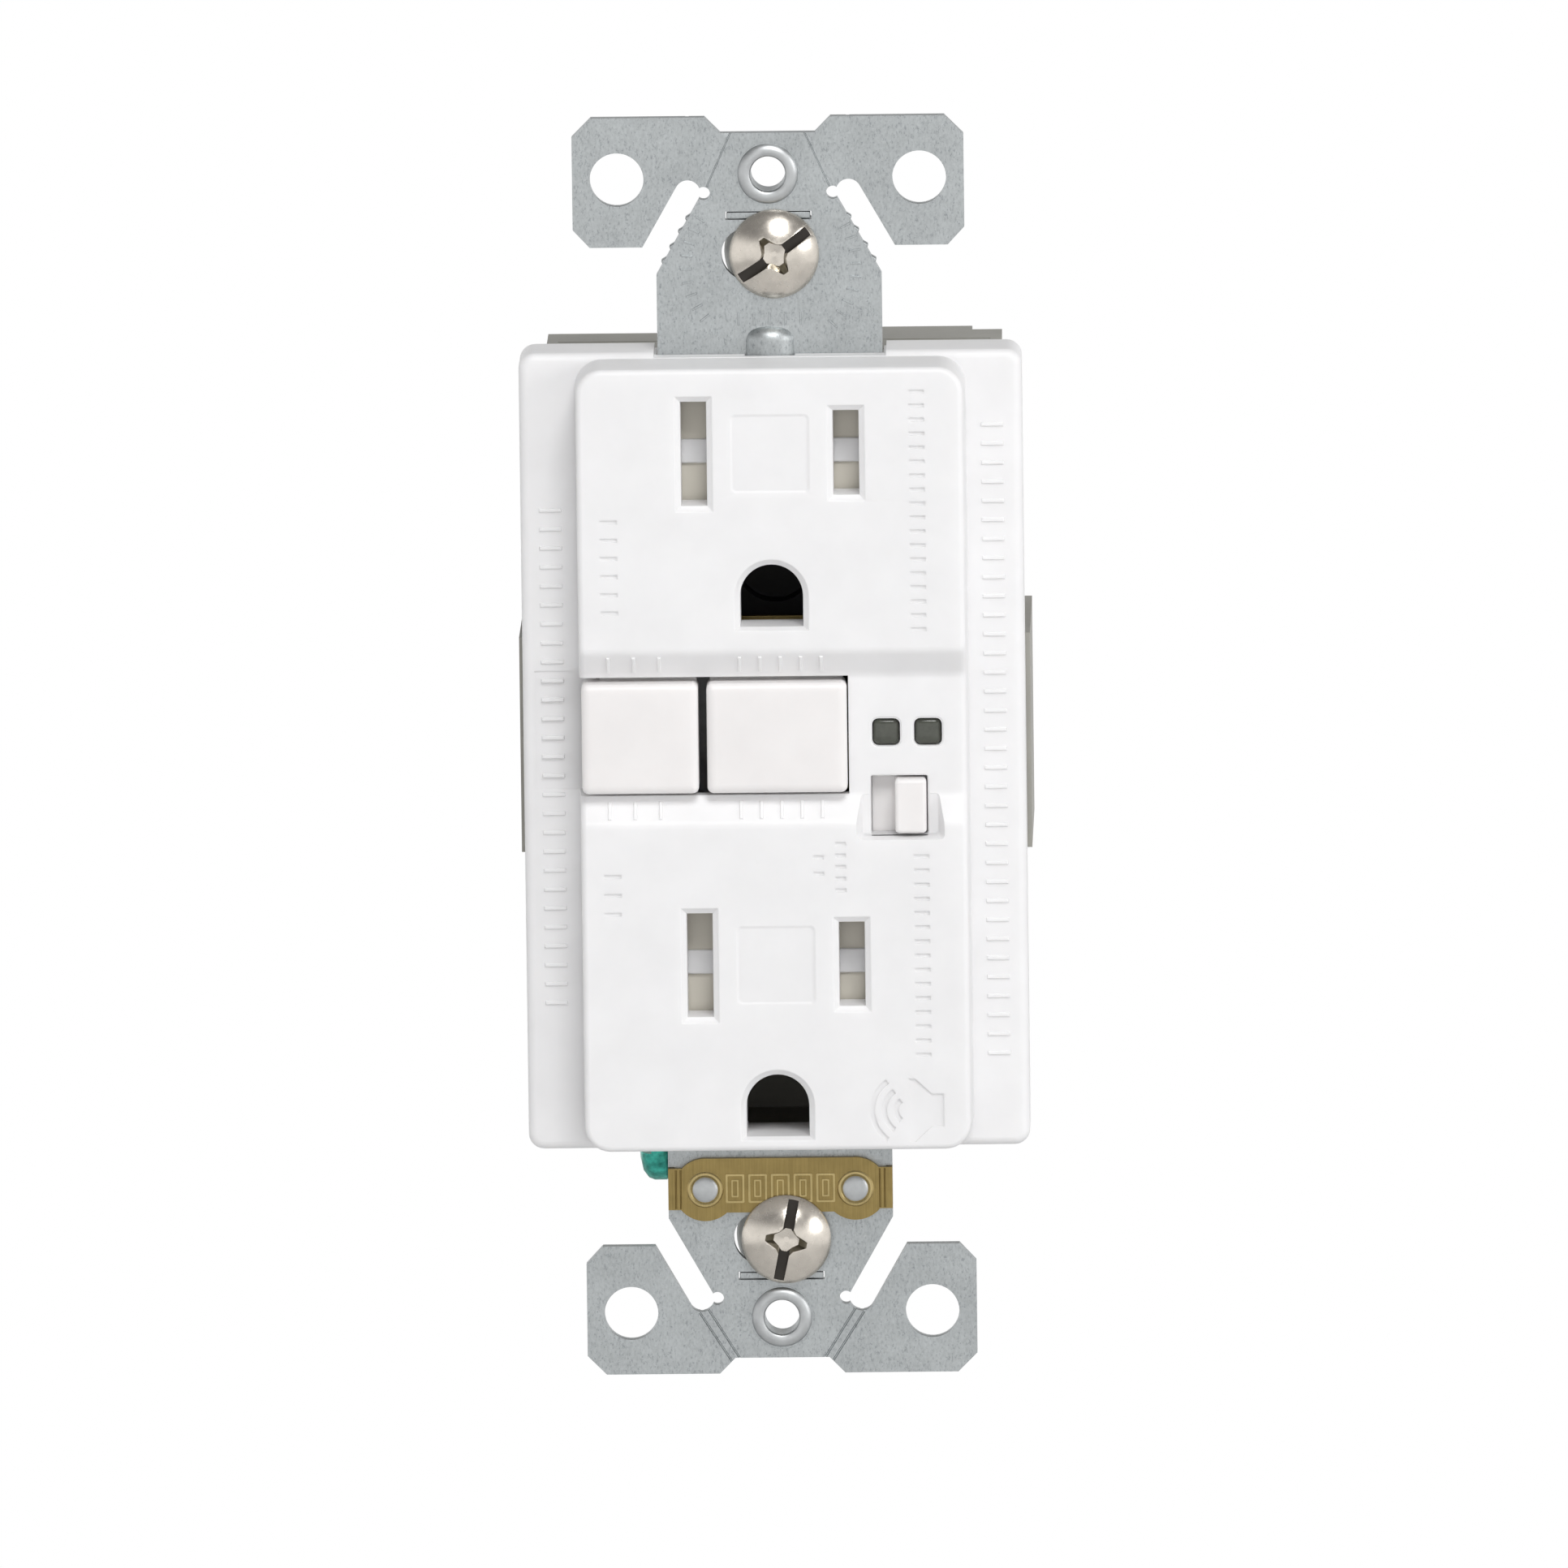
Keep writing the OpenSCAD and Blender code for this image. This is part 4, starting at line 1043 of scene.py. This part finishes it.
yielding_spring("upper_shutter_spring", 0)
yielding_spring("lower_shutter_spring", 0)
yielding_spring("reset_spring", 1)
for node, obj in frame["nodes"].items():
    if not obj.hide_render:
        obj.data.materials.clear()
        obj.data.materials.append(MATERIALS[NODE_SLOT[node]])


# ---------------------------------------------------------------- camera and light

CAMERA_DISTANCE = 3.0
CAMERA_ROLL = math.radians(-0.72)


def studio():
    azimuth, elevation = math.radians(1.0), math.radians(9.0)
    back = Vector((math.sin(azimuth) * math.cos(elevation),
                   -math.cos(azimuth) * math.cos(elevation), math.sin(elevation)))
    right = Vector((0, 0, 1)).cross(back).normalized()
    up = back.cross(right)
    aim = right * 0.00070 - up * 0.0033
    camera = bpy.data.objects.new("camera", bpy.data.cameras.new("camera"))
    camera.data.sensor_width = 36.0
    camera.data.lens = 822.9
    camera.data.clip_end = 20.0
    turn = Matrix((right, up, back)).transposed().to_4x4()
    camera.matrix_world = Matrix.Translation(aim + back * CAMERA_DISTANCE) @ turn @ Matrix.Rotation(CAMERA_ROLL, 4, "Z")
    scene.collection.objects.link(camera)
    scene.camera = camera

    # Soft box all round: bright at eye level, dimmer overhead and below
    world = bpy.data.worlds.new("studio")
    world.use_nodes = True
    tree = world.node_tree
    direction = tree.nodes.new("ShaderNodeSeparateXYZ")
    tree.links.new(tree.nodes.new("ShaderNodeTexCoord").outputs["Generated"], direction.inputs[0])
    height = tree.nodes.new("ShaderNodeMapRange")
    height.inputs["From Min"].default_value = -1.0
    tree.links.new(direction.outputs["Z"], height.inputs["Value"])
    glow = tree.nodes.new("ShaderNodeValToRGB")
    levels = ((0.0, 0.42), (0.2, 0.5), (0.28, 1.0), (0.6, 1.0), (0.7, 0.3), (1.0, 0.22))
    while len(glow.color_ramp.elements) < len(levels):
        glow.color_ramp.elements.new(0.5)
    for element, (position, level) in zip(glow.color_ramp.elements, levels):
        element.position = position
        element.color = (level, level, level, 1.0)
    tree.links.new(height.outputs["Result"], glow.inputs["Fac"])
    tree.links.new(glow.outputs["Color"], tree.nodes["Background"].inputs["Color"])
    scene.world = world
    scene.view_settings.view_transform = "Standard"

    for name, place_at, size, power in (("key", (0.2, -0.9, 1.0), 0.5, 9.0),
                                        ("side", (1.3, -0.8, 0.4), 0.5, 4.0)):
        light = bpy.data.lights.new(name, "AREA")
        light.shape = "SQUARE"
        light.size = size
        light.energy = power
        lamp = bpy.data.objects.new(name, light)
        lamp.location = place_at
        lamp.rotation_euler = (-Vector(place_at)).to_track_quat("-Z", "Y").to_euler()
        scene.collection.objects.link(lamp)

    floor = box("floor", (-1000, 1000), (-1000, 1000), (-301, -300))
    paint = Shader("floor_paint", (0.86, 0.86, 0.86), 0.7)
    paint.link(paint.ramp(paint.noise(4.0), [(0.3, (0.84, 0.84, 0.84)), (0.7, (0.88, 0.88, 0.88))]), "Base Color")
    floor.data.materials.append(paint.material)


studio()

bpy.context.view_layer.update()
